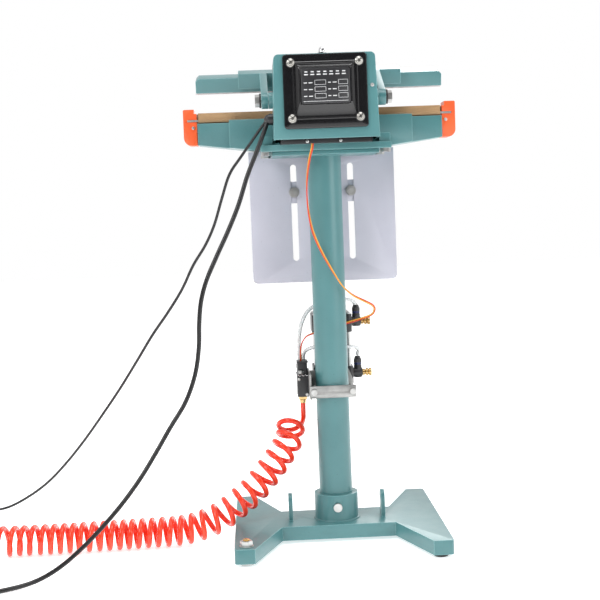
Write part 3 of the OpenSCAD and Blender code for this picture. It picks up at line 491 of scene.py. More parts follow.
def smooth_route(points, step):
    """Points about a step apart on a smooth curve through the route's points."""
    route = []
    ends = [points[0] * 2 - points[1], *points, points[-1] * 2 - points[-2]]
    for before, start, end, after in zip(ends, ends[1:], ends[2:], ends[3:]):
        pieces = max(1, round((end - start).length / step))
        for k in range(pieces):
            t = k / pieces
            route.append(0.5 * (2 * start + (end - before) * t
                                + (2 * before - 5 * start + 4 * end - after) * t * t
                                + (3 * start - before - 3 * end + after) * t ** 3))
    route.append(points[-1])
    return route


def length_of(route):
    """The length of a route of points."""
    return sum((b - a).length for a, b in zip(route, route[1:]))


def cord_curve(name, route, diameter, resolution=4):
    """A round cord along a route, as one open curve."""
    data = bpy.data.curves.new(name, "CURVE")
    data.dimensions = "3D"
    data.bevel_depth = diameter / 2
    data.bevel_resolution = resolution
    data.use_fill_caps = True
    spline = data.splines.new("POLY")
    spline.points.add(len(route) - 1)
    for point, place in zip(spline.points, route):
        point.co = (*place, 1.0)
    spline.use_smooth = True
    piece = bpy.data.objects.new(name, data)
    bpy.context.scene.collection.objects.link(piece)
    return piece


POWER_CORD_D = 6.5 * MM
POWER_ROUTE = metres([
    (-84, -72, 624), (-92, -76, 604), (-103, -81, 578), (-116, -86, 548), (-130, -90, 508),
    (-146, -93, 472), (-164, -96, 436), (-180, -99, 402), (-189, -100, 372),
    (-193, -100, 340), (-195, -100, 306), (-202, -101, 268), (-217, -105, 230),
    (-240, -111, 195), (-262, -118, 160), (-285, -127, 126), (-310, -138, 95),
    (-336, -152, 68), (-365, -168, 42), (-396, -184, 20), (-428, -200, 7),
    (-465, -219, 3.5), (-500, -231, 3.5), (-529, -236, 3.5), (-545, -232, 3.5),
    (-556, -221, 3.5), (-559.5, -205, 3.5), (-559.5, -176, 3.5)])
PEDAL_LEAD_D = 4.3 * MM
PEDAL_ROUTE = metres([
    (-84, -55, 629), (-92, -53, 620), (-107, -50, 600), (-124, -45, 578),
    (-142, -40, 553), (-155, -31, 518), (-168, -20, 480), (-183, -10, 450),
    (-203, -1, 420), (-222, 10, 384), (-245, 22, 350), (-272, 38, 314),
    (-300, 55, 272), (-330, 77, 228), (-364, 102, 182), (-398, 128, 138),
    (-434, 156, 96), (-470, 182, 60), (-508, 204, 32), (-546, 220, 12),
    (-585, 226, 4.5), (-620, 218, 4.5), (-642, 196, 4.5), (-648, 168, 8),
    (-648, 148, 14)])
print("mains route", round(length_of(POWER_ROUTE), 3), "pedal route", round(length_of(PEDAL_ROUTE), 3))

# %% [markdown]
# ## The mains lead and its coil
# The lead is 1.8 m long. About a metre of it is seen between the gland and the floor. The rest is wound
# into a flat coil of three and a half turns, two turns wide and two high. A cord can't pass through itself,
# so each turn changes its radius or height where the turn below is out of the way.

# %% Mains lead
COIL_CENTRE = Vector((-600, -150, 0)) * MM
OUTER_TURN = 40.5 * MM
INNER_TURN = 33.8 * MM
FLOOR_LAYER = 3.5 * MM
SECOND_LAYER = 10.2 * MM


def eased(value, start, end):
    """0 before start and 1 after end, with a smooth change between."""
    share = min(1.0, max(0.0, (value - start) / (end - start)))
    return share * share * (3 - 2 * share)


def coil_points(turns, steps):
    """Points of the wound part, anticlockwise from its right side."""
    places = []
    for k in range(round(turns * steps) + 1):
        turn = k / steps
        inwards = eased(turn, 0.66, 0.88) - eased(turn, 2.25, 2.6)
        radius = OUTER_TURN + (INNER_TURN - OUTER_TURN) * inwards
        height = FLOOR_LAYER + (SECOND_LAYER - FLOOR_LAYER) * eased(turn, 1.45, 1.72)
        angle = 2 * math.pi * turn
        places.append(COIL_CENTRE + Vector((radius * math.cos(angle), radius * math.sin(angle), height)))
    return places


coil = coil_points(3.5, 48)
to_plug = metres([(-640.5, -166, 10.3), (-640.4, -182, 10.7), (-640.4, -197, 11)])
to_coil = smooth_route(POWER_ROUTE + [coil[0]], 0.006)
power_line = to_coil[:-1] + coil + to_plug
power_cord = cord_curve("mains_lead", power_line, POWER_CORD_D, 5)
finished(power_cord, "frame", sheath, ("power_cord", "power_cord_coil"))
print("mains lead", round(length_of(power_line), 3), "m")

# %% [markdown]
# ## Turned and moulded small parts
# Plugs, screws and knobs are made by two shop processes. Turning makes a shape that is the same all round
# an axis, so a lathe helper spins an outline. Moulding makes a skin that runs from one outline to the next,
# so a loft helper joins a stack of outlines.

# %% Lathe and loft
AXES = {"x": Vector((1, 0, 0)), "y": Vector((0, 1, 0)), "z": Vector((0, 0, 1)),
        "-x": Vector((-1, 0, 0)), "-y": Vector((0, -1, 0)), "-z": Vector((0, 0, -1))}


def mesh_piece(name, points, faces, sharp=35.0):
    """A mesh from points and faces, smooth apart from its sharp edges."""
    mesh = bpy.data.meshes.new(name)
    mesh.from_pydata([tuple(p) for p in points], [], faces)
    shape = bmesh.new()
    shape.from_mesh(mesh)
    bmesh.ops.remove_doubles(shape, verts=shape.verts, dist=1e-7)
    bmesh.ops.recalc_face_normals(shape, faces=shape.faces)
    shape.to_mesh(mesh)
    shape.free()
    smooth_faces(mesh)
    mesh.set_sharp_from_angle(angle=math.radians(sharp))
    piece = bpy.data.objects.new(name, mesh)
    bpy.context.scene.collection.objects.link(piece)
    return piece


def loft(name, loops, sharp=35.0, closed=False):
    """A skin over a stack of outlines with the same number of points."""
    count = len(loops[0])
    faces = []
    rows = len(loops)
    for row in range(rows if closed else rows - 1):
        below, above = row * count, (row + 1) % rows * count
        for k in range(count):
            n = (k + 1) % count
            faces.append((below + k, below + n, above + n, above + k))
    if not closed:
        faces.append(tuple(range(count - 1, -1, -1)))
        faces.append(tuple(range((rows - 1) * count, rows * count)))
    return mesh_piece(name, [p for loop in loops for p in loop], faces, sharp)


def ring(place, axis, radius, along, segments=48, ribs=0, rib_depth=0.0):
    """A circle of points round an axis, with optional ribs."""
    ahead = AXES[axis]
    side = ahead.orthogonal().normalized()
    up = ahead.cross(side)
    points = []
    for k in range(segments):
        angle = 2 * math.pi * k / segments
        r = radius - (rib_depth if ribs and math.cos(ribs * angle) < 0 else 0.0)
        points.append(Vector(place) + ahead * along + side * r * math.cos(angle) + up * r * math.sin(angle))
    return points


def lathe(name, place, axis, outline, segments=48, ribs=0, rib_depth=0.0, ribbed=(), sharp=35.0):
    """An outline of (distance along, radius) in millimetres, spun about an axis."""
    loops = []
    for number, (along, radius) in enumerate(outline):
        has_ribs = ribs if number in ribbed else 0
        loops.append(ring(Vector(place) * MM, axis, max(radius, 0.01) * MM, along * MM, segments, has_ribs,
                          rib_depth * MM))
    return loft(name, loops, sharp)


def rounded_outline(low, high, radius, corner=6):
    """A rectangle with round corners in a plane, as (first, second) pairs in millimetres."""
    pairs = []
    for sign_a, sign_b, start in ((1, 1, 0), (-1, 1, 90), (-1, -1, 180), (1, -1, 270)):
        centre_a = (high[0] - radius) if sign_a > 0 else (low[0] + radius)
        centre_b = (high[1] - radius) if sign_b > 0 else (low[1] + radius)
        for k in range(corner + 1):
            angle = math.radians(start + 90 * k / corner)
            pairs.append((centre_a + radius * math.cos(angle), centre_b + radius * math.sin(angle)))
    return pairs


def joined(name, pieces):
    """Several pieces made into one mesh."""
    shape = bmesh.new()
    for piece in pieces:
        mesh = piece.data.copy()
        mesh.transform(piece.matrix_world)
        shape.from_mesh(mesh)
        bpy.data.meshes.remove(mesh)
    mesh = bpy.data.meshes.new(name)
    shape.to_mesh(mesh)
    shape.free()
    for piece in pieces:
        bpy.data.objects.remove(piece)
    smooth_faces(mesh)
    mesh.set_sharp_from_angle(angle=math.radians(35))
    result = bpy.data.objects.new(name, mesh)
    bpy.context.scene.collection.objects.link(result)
    return result


def soft_box(name, low, high, radius, bevel=0.0, along="y", corner=5):
    """A moulded block: round corners seen along an axis, and a small radius on its two ends."""
    axis = "xyz".index(along)
    others = [k for k in range(3) if k != axis]
    loops = []
    stations = [(low[axis], bevel), (low[axis] + bevel, 0.0), (high[axis] - bevel, 0.0),
                (high[axis], bevel)]
    if bevel == 0.0:
        stations = [(low[axis], 0.0), (high[axis], 0.0)]
    for station, inset in stations:
        a = (low[others[0]] + inset, low[others[1]] + inset)
        b = (high[others[0]] - inset, high[others[1]] - inset)
        loop = []
        for first, second in rounded_outline(a, b, max(radius - inset, 0.2), corner):
            point = [0.0, 0.0, 0.0]
            point[axis] = station
            point[others[0]] = first
            point[others[1]] = second
            loop.append(Vector(point) * MM)
        loops.append(loop)
    return loft(name, loops)


# %% [markdown]
# ## The plug
# A moulded plug has a body with finger grips, a ribbed sleeve that stops the cord from kinking, and two
# turned pins. The ribs of the sleeve alternate with grooves, so that it bends a little everywhere instead
# of sharply in one place.

# %% Plug
PLUG = Vector((-640.4, -222, 11))
body_loops = []
for back_by, half_w, half_h, corner in ((2, 8, 7.5, 4), (-1, 12.5, 9.6, 5), (-6, 15, 11, 6),
                                        (-14, 15, 11, 6),
                                        (-18, 13.6, 10.2, 5.5), (-24, 13.6, 10.2, 5.5), (-28, 15, 11, 6),
                                        (-34.6, 15, 11, 6), (-36, 13.8, 9.8, 5)):
    body_loops.append([(Vector((a, back_by, b)) + PLUG) * MM
                       for a, b in rounded_outline((-half_w, -half_h), (half_w, half_h), corner, 6)])
plug_body = loft("plug_body", body_loops, 50)
sleeve_outline = [(0, 6.9)]
for k in range(6):
    sleeve_outline += [(1 + 4 * k, 6.8 - 0.45 * k), (3.4 + 4 * k, 6.6 - 0.45 * k),
                       (3.5 + 4 * k, 5.2 - 0.3 * k), (4.6 + 4 * k, 5.1 - 0.3 * k)]
sleeve_outline += [(25.5, 4.2), (26, 3.6)]
plug_sleeve = lathe("plug_sleeve", PLUG, "y", sleeve_outline, 32)
plug = joined("mains_plug", [plug_body, plug_sleeve])
finished(plug, "frame", sheath, ("power_plug",))
pins = [lathe("pin", PLUG + Vector((x, -35, 0)), "-y", [(0, 2.4), (18, 2.4), (19.4, 1.8), (20, 0.6)], 24)
        for x in (-9.5, 9.5)]
plug_pins = finished(joined("plug_pins", pins), "frame", brass)
print("plug at", [round(v, 3) for v in PLUG])

# %% [markdown]
# ## The foot switch and its lead
# The operator's foot closes the jaw. The thin lead runs out along the floor to a low switch box with a
# sloping tread. Raised bars across the tread give a shoe some grip, and a ribbed sleeve guards the lead
# where it enters the box.

# %% Foot switch
pedal_line = smooth_route(PEDAL_ROUTE, 0.006)
pedal_lead = cord_curve("pedal_lead_line", pedal_line, PEDAL_LEAD_D)
finished(pedal_lead, "frame", sheath, ("pedal_lead",))
grips = []
for k in range(9):
    y = 60 + 7 * k
    z = 29 + (y - 54) * (43 - 29) / 66
    grips.append(soft_box("grip", (-648 - 26, y - 1.4, z - 0.6), (-648 + 26, y + 1.4, z + 1.3), 0.7, 0.3,
                          "x"))
finished(joined("tread_bars", grips), "foot_pedal", pedal_orange)
guard_outline = [(-1, 5.2)]
for k in range(4):
    guard_outline += [(1 + 4 * k, 4.6 - 0.3 * k), (3.2 + 4 * k, 4.5 - 0.3 * k),
                      (3.3 + 4 * k, 3.6 - 0.2 * k),
                      (4.5 + 4 * k, 3.5 - 0.2 * k)]
guard_outline += [(18, 2.5)]
lead_guard = finished(lathe("lead_guard", (-648, 148, 13.5), "y", guard_outline, 28), "frame",
                      rubber)

# %% [markdown]
# ## The recoil hose
# A recoil hose is a springy plastic tube that was set into a coil while warm. Where it hangs from the valve
# its turns are pulled apart, and where it lies on the floor they close up again. The hose is drawn as one
# curve: a point goes round the centreline of the coil while it moves along it, and the pitch, which is the
# distance moved per turn, falls from 21 mm on the slope to 15 mm on the floor.

# %% Recoil hose
HOSE_D = 8.0 * MM
HOSE_COIL_R = 19.0 * MM
HOSE_ROUTE = metres([
    (-64.5, 53.5, 168), (-64.5, 48, 162.5), (-65, 42, 155.8), (-66.5, 37, 148), (-70, 32, 139.5),
    (-77, 26, 129),
    (-87, 19, 116),
    (-100, 11, 101), (-115, 4, 84.5), (-131, -4, 70), (-147.5, -12, 59), (-164, -20, 48),
    (-181, -25, 39), (-199, -28, 32), (-218, -30, 27), (-242, -31.5, 24), (-275, -33, 23.4),
    (-315, -36, 23.4), (-359, -39, 23.4), (-405, -42, 23.4), (-455, -44, 23.4), (-506, -44, 23.4)])
HOSE_LEG = metres([
    (-44, 40, 198.5), (-44, 40, 193), (-44, 40.9, 186), (-44, 43.3, 179), (-44.2, 47.4, 172.6)])
HOSE_TAIL = metres([
    (-507.5, -63.8, 16), (-511, -63.6, 10.5), (-518, -63, 5.8), (-527, -61.6, 4.2), (-538, -57, 4.6),
    (-548, -50, 6), (-557, -44.6, 8), (-563, -42.4, 8.8), (-570, -42, 9)])


def hose_pitch(travelled):
    """How far the coil moves on in one turn: close at the top, open on the slope, close on the floor."""
    opened = 6.5 * eased(travelled, 0.012, 0.03) - 6.9 * eased(travelled, 0.19, 0.29)
    stretched = 6.0 * eased(travelled, 0.505, 0.515) * (1 - eased(travelled, 0.52, 0.53))
    uneven = 0.7 * math.sin(travelled * 70.0) + 0.5 * math.sin(travelled * 163.0)
    return (15.0 + opened + stretched + uneven) * MM


def helix(line, radius, pitch_at, last_side):
    """A left-handed coil round a line. It starts on the right and ends on the side that is asked for."""
    frames = []
    travelled, turned = 0.0, 0.0
    side = Vector((1, 0, 0))
    for before, after in zip(line, line[1:]):
        step = after - before
        ahead = step.normalized()
        side = (side - ahead * side.dot(ahead)).normalized()
        up = ahead.cross(side)
        frames.append((before, side.copy(), up, turned))
        travelled += step.length
        turned += 2 * math.pi * step.length / pitch_at(travelled)
    whole = frames[-1][3]
    last = math.atan2(-up.dot(last_side), side.dot(last_side))
    wanted = last + 2 * math.pi * round((whole - last) / (2 * math.pi))
    return [place + (across * math.cos(angle * wanted / whole)
                     - above * math.sin(angle * wanted / whole)) * radius
            for place, across, above, angle in frames]


hose_line = smooth_route(HOSE_ROUTE, 0.0009)
hose_coil = helix(hose_line, HOSE_COIL_R, hose_pitch, Vector((0, -1, 0)))
hose_points = smooth_route(HOSE_LEG + hose_coil[1:3], 0.003)[:-1] + hose_coil[3:-3]
hose_points += smooth_route([hose_coil[-3]] + HOSE_TAIL, 0.003)
air_hose = cord_curve("recoil_hose", hose_points, HOSE_D, 4)
finished(air_hose, "frame", hose_red, ("air_hose",))
coupling = lathe("quick_coupling", (-566, -42, 9), "-x",
                 [(-2, 4.6), (-1.4, 5.4), (3, 5.6), (3.4, 7), (12, 7), (12.6, 6.2), (14, 6.2), (14.4, 8.2),
                  (27, 8.2),
                  (27.6, 7.6), (29, 7.6), (29.6, 5.8), (36, 5.8), (36.6, 6.6), (40, 6.6), (40.6, 5.6),
                  (46, 5.4),
                  (46, 3.2), (40, 3.2)], 48, 24, 0.5, (7, 8, 9))
finished(coupling, "frame", brass, ("hose_connector",))

# %% [markdown]
# ## The solenoid's wires and the air tubes
# A red and a yellow wire run side by side from the timer to the valve, so that the valve opens when the jaw
# may close. Two milky tubes carry the air from the valve to both ends of the cylinder. They are held at
# both ends, and the CAD model holds their full length, so here they only become smoother.

# %% Wires and tubes
LEAD_ROUTE = metres([
    (-20, -76, 597), (-21, -75, 586), (-25, -68, 571), (-29, -60, 546), (-30, -52, 519), (-28, -46, 492),
    (-23, -40, 466), (-13, -34, 440), (-2, -32, 418), (9, -31, 398), (20, -29, 381),
    (35, -18, 367), (54, 0, 356), (67, 14, 348), (71, 26, 340), (66, 30, 332),
    (47, 28.3, 326), (27, 28, 321), (0, 28, 314), (-25, 28, 307), (-36, 30, 302),
    (-43, 32, 291), (-45, 33, 278), (-45, 34, 264)])
UPPER_TUBE = metres([
    (-47, 56, 262), (-47, 52, 280), (-46, 44, 300), (-42, 37, 322), (-32, 33, 341),
    (-16, 34, 351), (4, 38, 355), (24, 46, 356), (38, 56, 354), (45, 62, 346)])
LOWER_TUBE = metres([
    (-40, 56, 262), (-40, 50, 272), (-36, 40, 280), (-26, 31.5, 285), (-8, 29.5, 287),
    (12, 29.5, 286), (28, 32, 284), (40, 42, 282), (46, 54, 276), (45, 62, 268)])
AIR_TUBE_D = 6 * MM
WIRE_D = 1.9 * MM


def beside(line, offset, turns):
    """A line that runs beside another and turns slowly round it."""
    places = []
    side = Vector((1, 0, 0))
    total = length_of(line)
    travelled = 0.0
    for k, place in enumerate(line):
        ahead = (line[min(k + 1, len(line) - 1)] - line[max(k - 1, 0)]).normalized()
        side = (side - ahead * side.dot(ahead)).normalized()
        angle = 2 * math.pi * turns * travelled / total
        places.append(place + (side * math.cos(angle) + ahead.cross(side) * math.sin(angle)) * offset)
        if k + 1 < len(line):
            travelled += (line[k + 1] - place).length
    return places


lead_line = smooth_route(LEAD_ROUTE, 0.004)
red_lead = cord_curve("red_lead", beside(lead_line, WIRE_D / 2, 1.5), WIRE_D, 3)
yellow_lead = cord_curve("yellow_lead", beside(lead_line, -WIRE_D / 2, 1.5), WIRE_D, 3)
finished(red_lead, "frame", red_wire, ("solenoid_lead",))
finished(yellow_lead, "frame", yellow_wire)
upper_tube = cord_curve("upper_air_tube", smooth_route(UPPER_TUBE, 0.003), AIR_TUBE_D)
lower_tube = cord_curve("lower_air_tube", smooth_route(LOWER_TUBE, 0.003), AIR_TUBE_D)
finished(upper_tube, "frame", clear_tube, ("air_tubes",))
finished(lower_tube, "frame", clear_tube)
print("wires", round(length_of(lead_line), 3), "m")

# %% [markdown]
# ## Cross-head screws
# Pan-head screws with a cross recess hold the covers. The head is turned as a low dome, and a pressed cross
# is cut into it. One head is made, and every screw is a copy of it in the right size.

# %% Screw heads
def cut_out(piece, cutter):
    """The piece without the cutter's volume. The cutter is removed."""
    modifier = piece.modifiers.new("cut", "BOOLEAN")
    modifier.operation = "DIFFERENCE"
    modifier.object = cutter
    modifier.solver = "EXACT"
    bpy.context.view_layer.update()
    shaped = bpy.data.meshes.new_from_object(piece.evaluated_get(bpy.context.evaluated_depsgraph_get()))
    piece.modifiers.clear()
    piece.data = shaped
    bpy.data.objects.remove(cutter)
    smooth_faces(shaped)
    shaped.set_sharp_from_angle(angle=math.radians(35))
    return piece


def screw_head():
    """A pan head of diameter 1 and height 0.34, looking along -Y, with its seat at the origin."""
    outline = [(0, 0.5), (0.13, 0.5), (0.2, 0.485), (0.26, 0.44), (0.31, 0.34), (0.335, 0.2), (0.34, 0.0)]
    head = lathe("head", (0, 0, 0), "-y", [(a * 1000, r * 1000) for a, r in outline], 40)
    blades = []
    for wide, high in ((0.29, 0.06), (0.06, 0.29)):
        loops = [[Vector((x * wide, y, z * high)) for x, z in ((-1, -1), (1, -1), (1, 1), (-1, 1))]
                 for y in (-0.17, -0.5)]
        blades.append(loft("blade", loops))
    for blade in blades:
        head = cut_out(head, blade)
    return head


def spread(name, source, places):
    """Copies of a unit piece made into one mesh. A place is (position in mm, size in mm, turn in degrees)."""
    pieces = []
    for position, size, turn in places:
        piece = bpy.data.objects.new(name, source.data)
        piece.matrix_world = (Matrix.Translation(Vector(position) * MM)
                              @ Matrix.Rotation(math.radians(turn), 4, "Y")
                              @ Matrix.Scale(size * MM, 4))
        pieces.append(piece)
    return joined(name, pieces)


unit_head = screw_head()
cover_places = [((x, -98.4, z), 8.4, turn) for x, z, turn in
                ((-48.5, 626.5, 20), (48.5, 626.5, 65), (-48.5, 705, 38), (48.5, 705, 8))]
small_places = [((-28, -82, 595), 5, 12), ((20, -82, 595), 5, 50), ((67, -92, 671), 5.4, 30),
                ((197, 72.4, 630), 5, 10), ((-197, 72.4, 630), 5, 40)]
finished(spread("cover_screws", unit_head, cover_places), "frame", screw_plate,
         ("panel_screws",))
finished(spread("small_screws", unit_head, small_places), "frame", zinc)
bpy.data.objects.remove(unit_head)
cups = [lathe("cup", (x, -96, z), "-y", [(0, 5.9), (1.6, 5.8), (2.3, 5.2), (2.55, 4.3), (2.3, 3.6)], 40)
        for x in (-48.5, 48.5) for z in (626.5, 705)]
finished(joined("screw_cups", cups), "frame", screw_plate)
finished(lathe("apron_screw", (60, 90, 588), "-z", [(0, 4), (1.2, 3.9), (2, 2.6), (2.2, 0)], 32),
         "frame", zinc)
print("screws", len(cover_places) + len(small_places) + 1)

# %% [markdown]
# ## The transformer cover
# The glossy black cover is one moulding. From the outside in it has a flat rim with the screws, a thin
# raised ridge, and a raised middle that carries the rating plate. The slope below the plate is the longest
# one, which sheds dust. Each outline below is one step of that profile, and the loft joins them.

# %% Cover moulding
COVER_STEPS = (
    (60, 612, 717, 5.0, -92.0), (60, 612, 717, 5.0, -94.4), (59.2, 612.8, 716.2, 4.6, -95.6),
    (57.6, 614.4, 714.6, 4.0, -96.0), (46.8, 624.4, 706.8, 3.0, -96.0), (46.2, 625.0, 706.2, 3.0, -97.4),
    (45.4, 625.8, 705.4, 2.8, -98.0), (44.4, 626.8, 704.4, 2.6, -97.9), (43.8, 627.4, 703.8, 2.6, -96.6),
    (42.8, 628.6, 702.8, 2.6, -96.4), (38.6, 642.8, 699.8, 3.2, -100.0), (37.8, 644.0, 699.0, 3.4, -100.8),
    (36.8, 645.0, 698.0, 3.4, -101.0), (36.2, 645.6, 697.4, 3.2, -100.6))
cover_loops = []
for half, low, high, corner, depth in COVER_STEPS:
    cover_loops.append([Vector((a, depth, b)) * MM for a, b in rounded_outline((-half, low), (half, high),
                                                                               corner, 8)])
cover_loops.reverse()
transformer_cover = loft("transformer_cover", cover_loops, 28)
bosses = [lathe("boss", (x, -94, z), "-y", [(0, 7), (2.6, 6.8), (3.2, 6.2)], 40)
          for x in (-48.5, 48.5) for z in (626.5, 705)]
finished(transformer_cover, "frame", cover_black, ("rear_cover",))
finished(joined("cover_bosses", bosses), "frame", cover_black)
print("cover", len(transformer_cover.data.polygons), "faces")

# %% [markdown]
# ## The rating plate
# A rating plate normally carries words and figures. This one is left generic: plain bars stand where a
# heading and three lines would be, and empty frames stand where the values would be.

# %% Rating plate
plate_loops = []
for inset, depth in ((0.0, -100.6), (0.0, -101.4), (0.3, -101.6)):
    plate_loops.append([Vector((a, depth, b)) * MM
                        for a, b in rounded_outline((-34.6 + inset, 646.4 + inset),
                                                    (34.6 - inset, 696.4 - inset), 3, 6)])
finished(loft("rating_plate", plate_loops), "frame", matt_black, ("data_plate",))


def plate_bar(x0, x1, z0, z1):
    """A printed bar on the rating plate."""
    return [Vector((x, -101.66, z)) * MM for x, z in ((x0, z0), (x1, z0), (x1, z1), (x0, z1))]


def plate_frame(x0, x1, z0, z1, line=0.5):
    """The four printed sides of an empty box."""
    return [plate_bar(x0, x1, z1 - line, z1), plate_bar(x0, x1, z0, z0 + line),
            plate_bar(x0, x0 + line, z0, z1), plate_bar(x1 - line, x1, z0, z1)]


print_bars = []
for k in range(7):
    print_bars.append(plate_bar(-30 + 8.9 * k, -24.4 + 8.9 * k, 686.4, 688.0))
    print_bars.append(plate_bar(-29.4 + 8.9 * k, -25.0 + 8.9 * k, 690.2, 691.8))
for row in range(3):
    z = 675 - 9.4 * row
    print_bars += [plate_bar(-31, -26.5, z, z + 1.3), plate_bar(-24, -18.5, z, z + 1.3)]
    print_bars += [plate_bar(3.5, 7.5, z, z + 1.3), plate_bar(10, 15.5, z, z + 1.3)]
    print_bars += plate_frame(-15.5, 0.5, z - 2.4, z + 4.4)
    print_bars += plate_frame(18, 31.5, z - 2.4, z + 4.4)
print_bars.append(plate_bar(-32, 32, 649.4, 650.0))
bar_points = [p for bar in print_bars for p in bar]
bar_faces = [tuple(range(4 * k, 4 * k + 4)) for k in range(len(print_bars))]
plate_print = mesh_piece("plate_print", bar_points, bar_faces)
finished(plate_print, "frame", pale_print)
print("plate bars", len(print_bars))

# %% [markdown]
# ## Cap nut, knobs and rocker
# A polished cap nut closes the stud on top of the housing. On the operator's side two timer knobs and a
# rocker switch stand in a black panel. The knobs have ribs for the fingers and a pale pointer, and plain
# tick marks stand round them.

# %% Cap nut and controls
cap_outline = [(1.4, 5.6), (1.8, 5.9), (7.4, 5.9), (7.9, 5.4), (8.1, 4.9), (10.4, 4.7), (12.8, 4.1),
               (14.4, 3.1),
               (15.3, 1.7), (15.6, 0)]
cap_dome = lathe("dome", (0, -40, 718), "z", cap_outline, 48)
hex_loops = [ring(Vector((0, -40, 718)) * MM, "z", r * MM, a * MM, 6)
             for a, r in ((1.4, 5.9), (1.9, 6.5), (7.4, 6.5), (7.9, 5.8))]
cap_washer = lathe("washer", (0, -40, 718), "z", [(0, 8), (0.3, 8.4), (1.2, 8.4), (1.5, 8), (1.5, 5)], 48)
cap_nut = joined("cap_nut", [cap_dome, loft("cap_hex", hex_loops), cap_washer])
finished(cap_nut, "frame", chrome, ("top_cap_nut",))

KNOB_Z = 680
HEAT_KNOB_X = -30
COOL_KNOB_X = 12
for knob_name, x, body, slot_name, finish in (("heat_knob", HEAT_KNOB_X, "heat_dial", "orange_knob",
                                               orange_plastic),
                                              ("cool_knob", COOL_KNOB_X, "cool_dial", "grey_knob",
                                               grey_knob)):
    outline = [(0.4, 9.6), (0.9, 10), (3.2, 10), (3.6, 9.4), (3.9, 8.3), (4.6, 8.1), (12.4, 7.7),
               (13.3, 7.2), (13.6, 6.2),
               (13.3, 4.8), (13.3, 0)]
    knob = lathe(knob_name + "_grip", (x, -2, KNOB_Z), "y", outline, 96, 24, 0.45, (5, 6))
    finished(knob, body, finish, (knob_name,))
    pointer = soft_box(knob_name + "_pointer", (x - 0.6, 11.1, KNOB_Z + 1), (x + 0.6, 11.6, KNOB_Z + 6.4),
                       0.3)
    finished(pointer, body, pale_print)

ticks = []
for x in (HEAT_KNOB_X, COOL_KNOB_X):
    for k in range(11):
        angle = math.radians(-240 + 30 * k)
        around = Vector((math.cos(angle), 0, math.sin(angle)))
        across = Vector((-around.z, 0, around.x)) * 0.3
        centre = Vector((x, -1.93, KNOB_Z))
        ticks.append([centre + around * 12 - across, centre + around * 12 + across,
                      centre + around * 14.5 + across, centre + around * 14.5 - across])
tick_points = [p * MM for tick in ticks for p in tick]
tick_marks = mesh_piece("tick_marks", tick_points, [tuple(range(4 * k,
                                                                4 * k + 4)) for k in range(len(ticks))])
finished(tick_marks, "frame", pale_print)
print("controls ready")

# %% [markdown]
# ## Flow controls and their adjusting screws
# Each end of the cylinder has a screw-in flow control: a black body, a push-in collar for the tube on top,
# and a knurled brass screw at its side. Knurling is a pattern of small ridges rolled into the brass for
# grip.

# %% Flow controls
LOWER_FLOW_Z = 239.5
UPPER_FLOW_Z = 320.5
flow_pieces = []
for z in (LOWER_FLOW_Z, UPPER_FLOW_Z):
    collar = lathe("collar", (45, 62, z + 12), "z", [(0, 5.5), (4, 5.7), (4.2, 6.1), (9, 6.1), (9.4, 5.4),
                                                     (11, 5.2),
                                                   (11.4, 4.6), (13.2, 4.5), (13.6, 4), (13.6, 3.1),
                                                   (10, 3.1)],
                   60, 20, 0.35, (2, 3))
    body = lathe("body", (36, 62, z), "x", [(0, 7), (0.6, 7.5), (14.6, 7.5), (15.4, 7.1), (16, 6.2),
                                            (16, 3)], 48)
    stem = lathe("stem", (45, 62, z - 7.6), "z", [(0, 5.8), (0.6, 6.2), (19, 6.2), (19.6, 5.4)], 40)
    flow_pieces += [collar, body, stem]
finished(joined("flow_bodies", flow_pieces), "frame", matt_black, ("flow_controls",))
blue_bands = [lathe("band", (45, 62, z + 12.6), "z", [(0, 5.75), (0, 5.95), (3, 5.95), (3, 5.75)], 48)
              for z in (LOWER_FLOW_Z, UPPER_FLOW_Z)]
band_blue = plastic("flow_band_blue", (0.02, 0.03, 0.12), (0.01, 0.02, 0.08), (0.25, 0.4))
finished(joined("flow_bands", blue_bands), "frame", band_blue)
for knob_name, body, z in (("upper_flow_knob", "upper_flow_screw", UPPER_FLOW_Z),
                           ("lower_flow_knob", "lower_flow_screw", LOWER_FLOW_Z)):
    outline = [(16.4, 3.6), (16.8, 5.3), (19.6, 5.3), (20, 4.2), (21, 3.6), (21.6, 4.8), (22, 5.9),
               (24.6, 6.2),
               (25, 5.2), (25.8, 4.2), (26.2, 5), (27, 6.3), (30, 6.3), (30.4, 5.8), (30.4, 2.4),
               (28.6, 2.2), (28.6, 0)]
    knob = lathe(knob_name + "_knurled", (36, 62, z), "x", outline, 96, 24, 0.4, (1, 2, 6, 7, 11, 12))
    stem = lathe("stem", (36, 62, z), "x", [(7, 2.45), (16.6, 2.45)], 32)
    finished(joined(knob_name + "_turned", [knob, stem]), body, brass, (knob_name,))
print("flow controls ready")

# %% [markdown]
# ## The valve
# A solenoid valve sends the air to one end of the cylinder or the other. Its block is anodised black
# aluminium, its coil is a moulded plastic block held by a nut, and two elbows turn the tubes towards the
# cylinder. A bright spring clip holds the coil, and two bright screws hold the block.

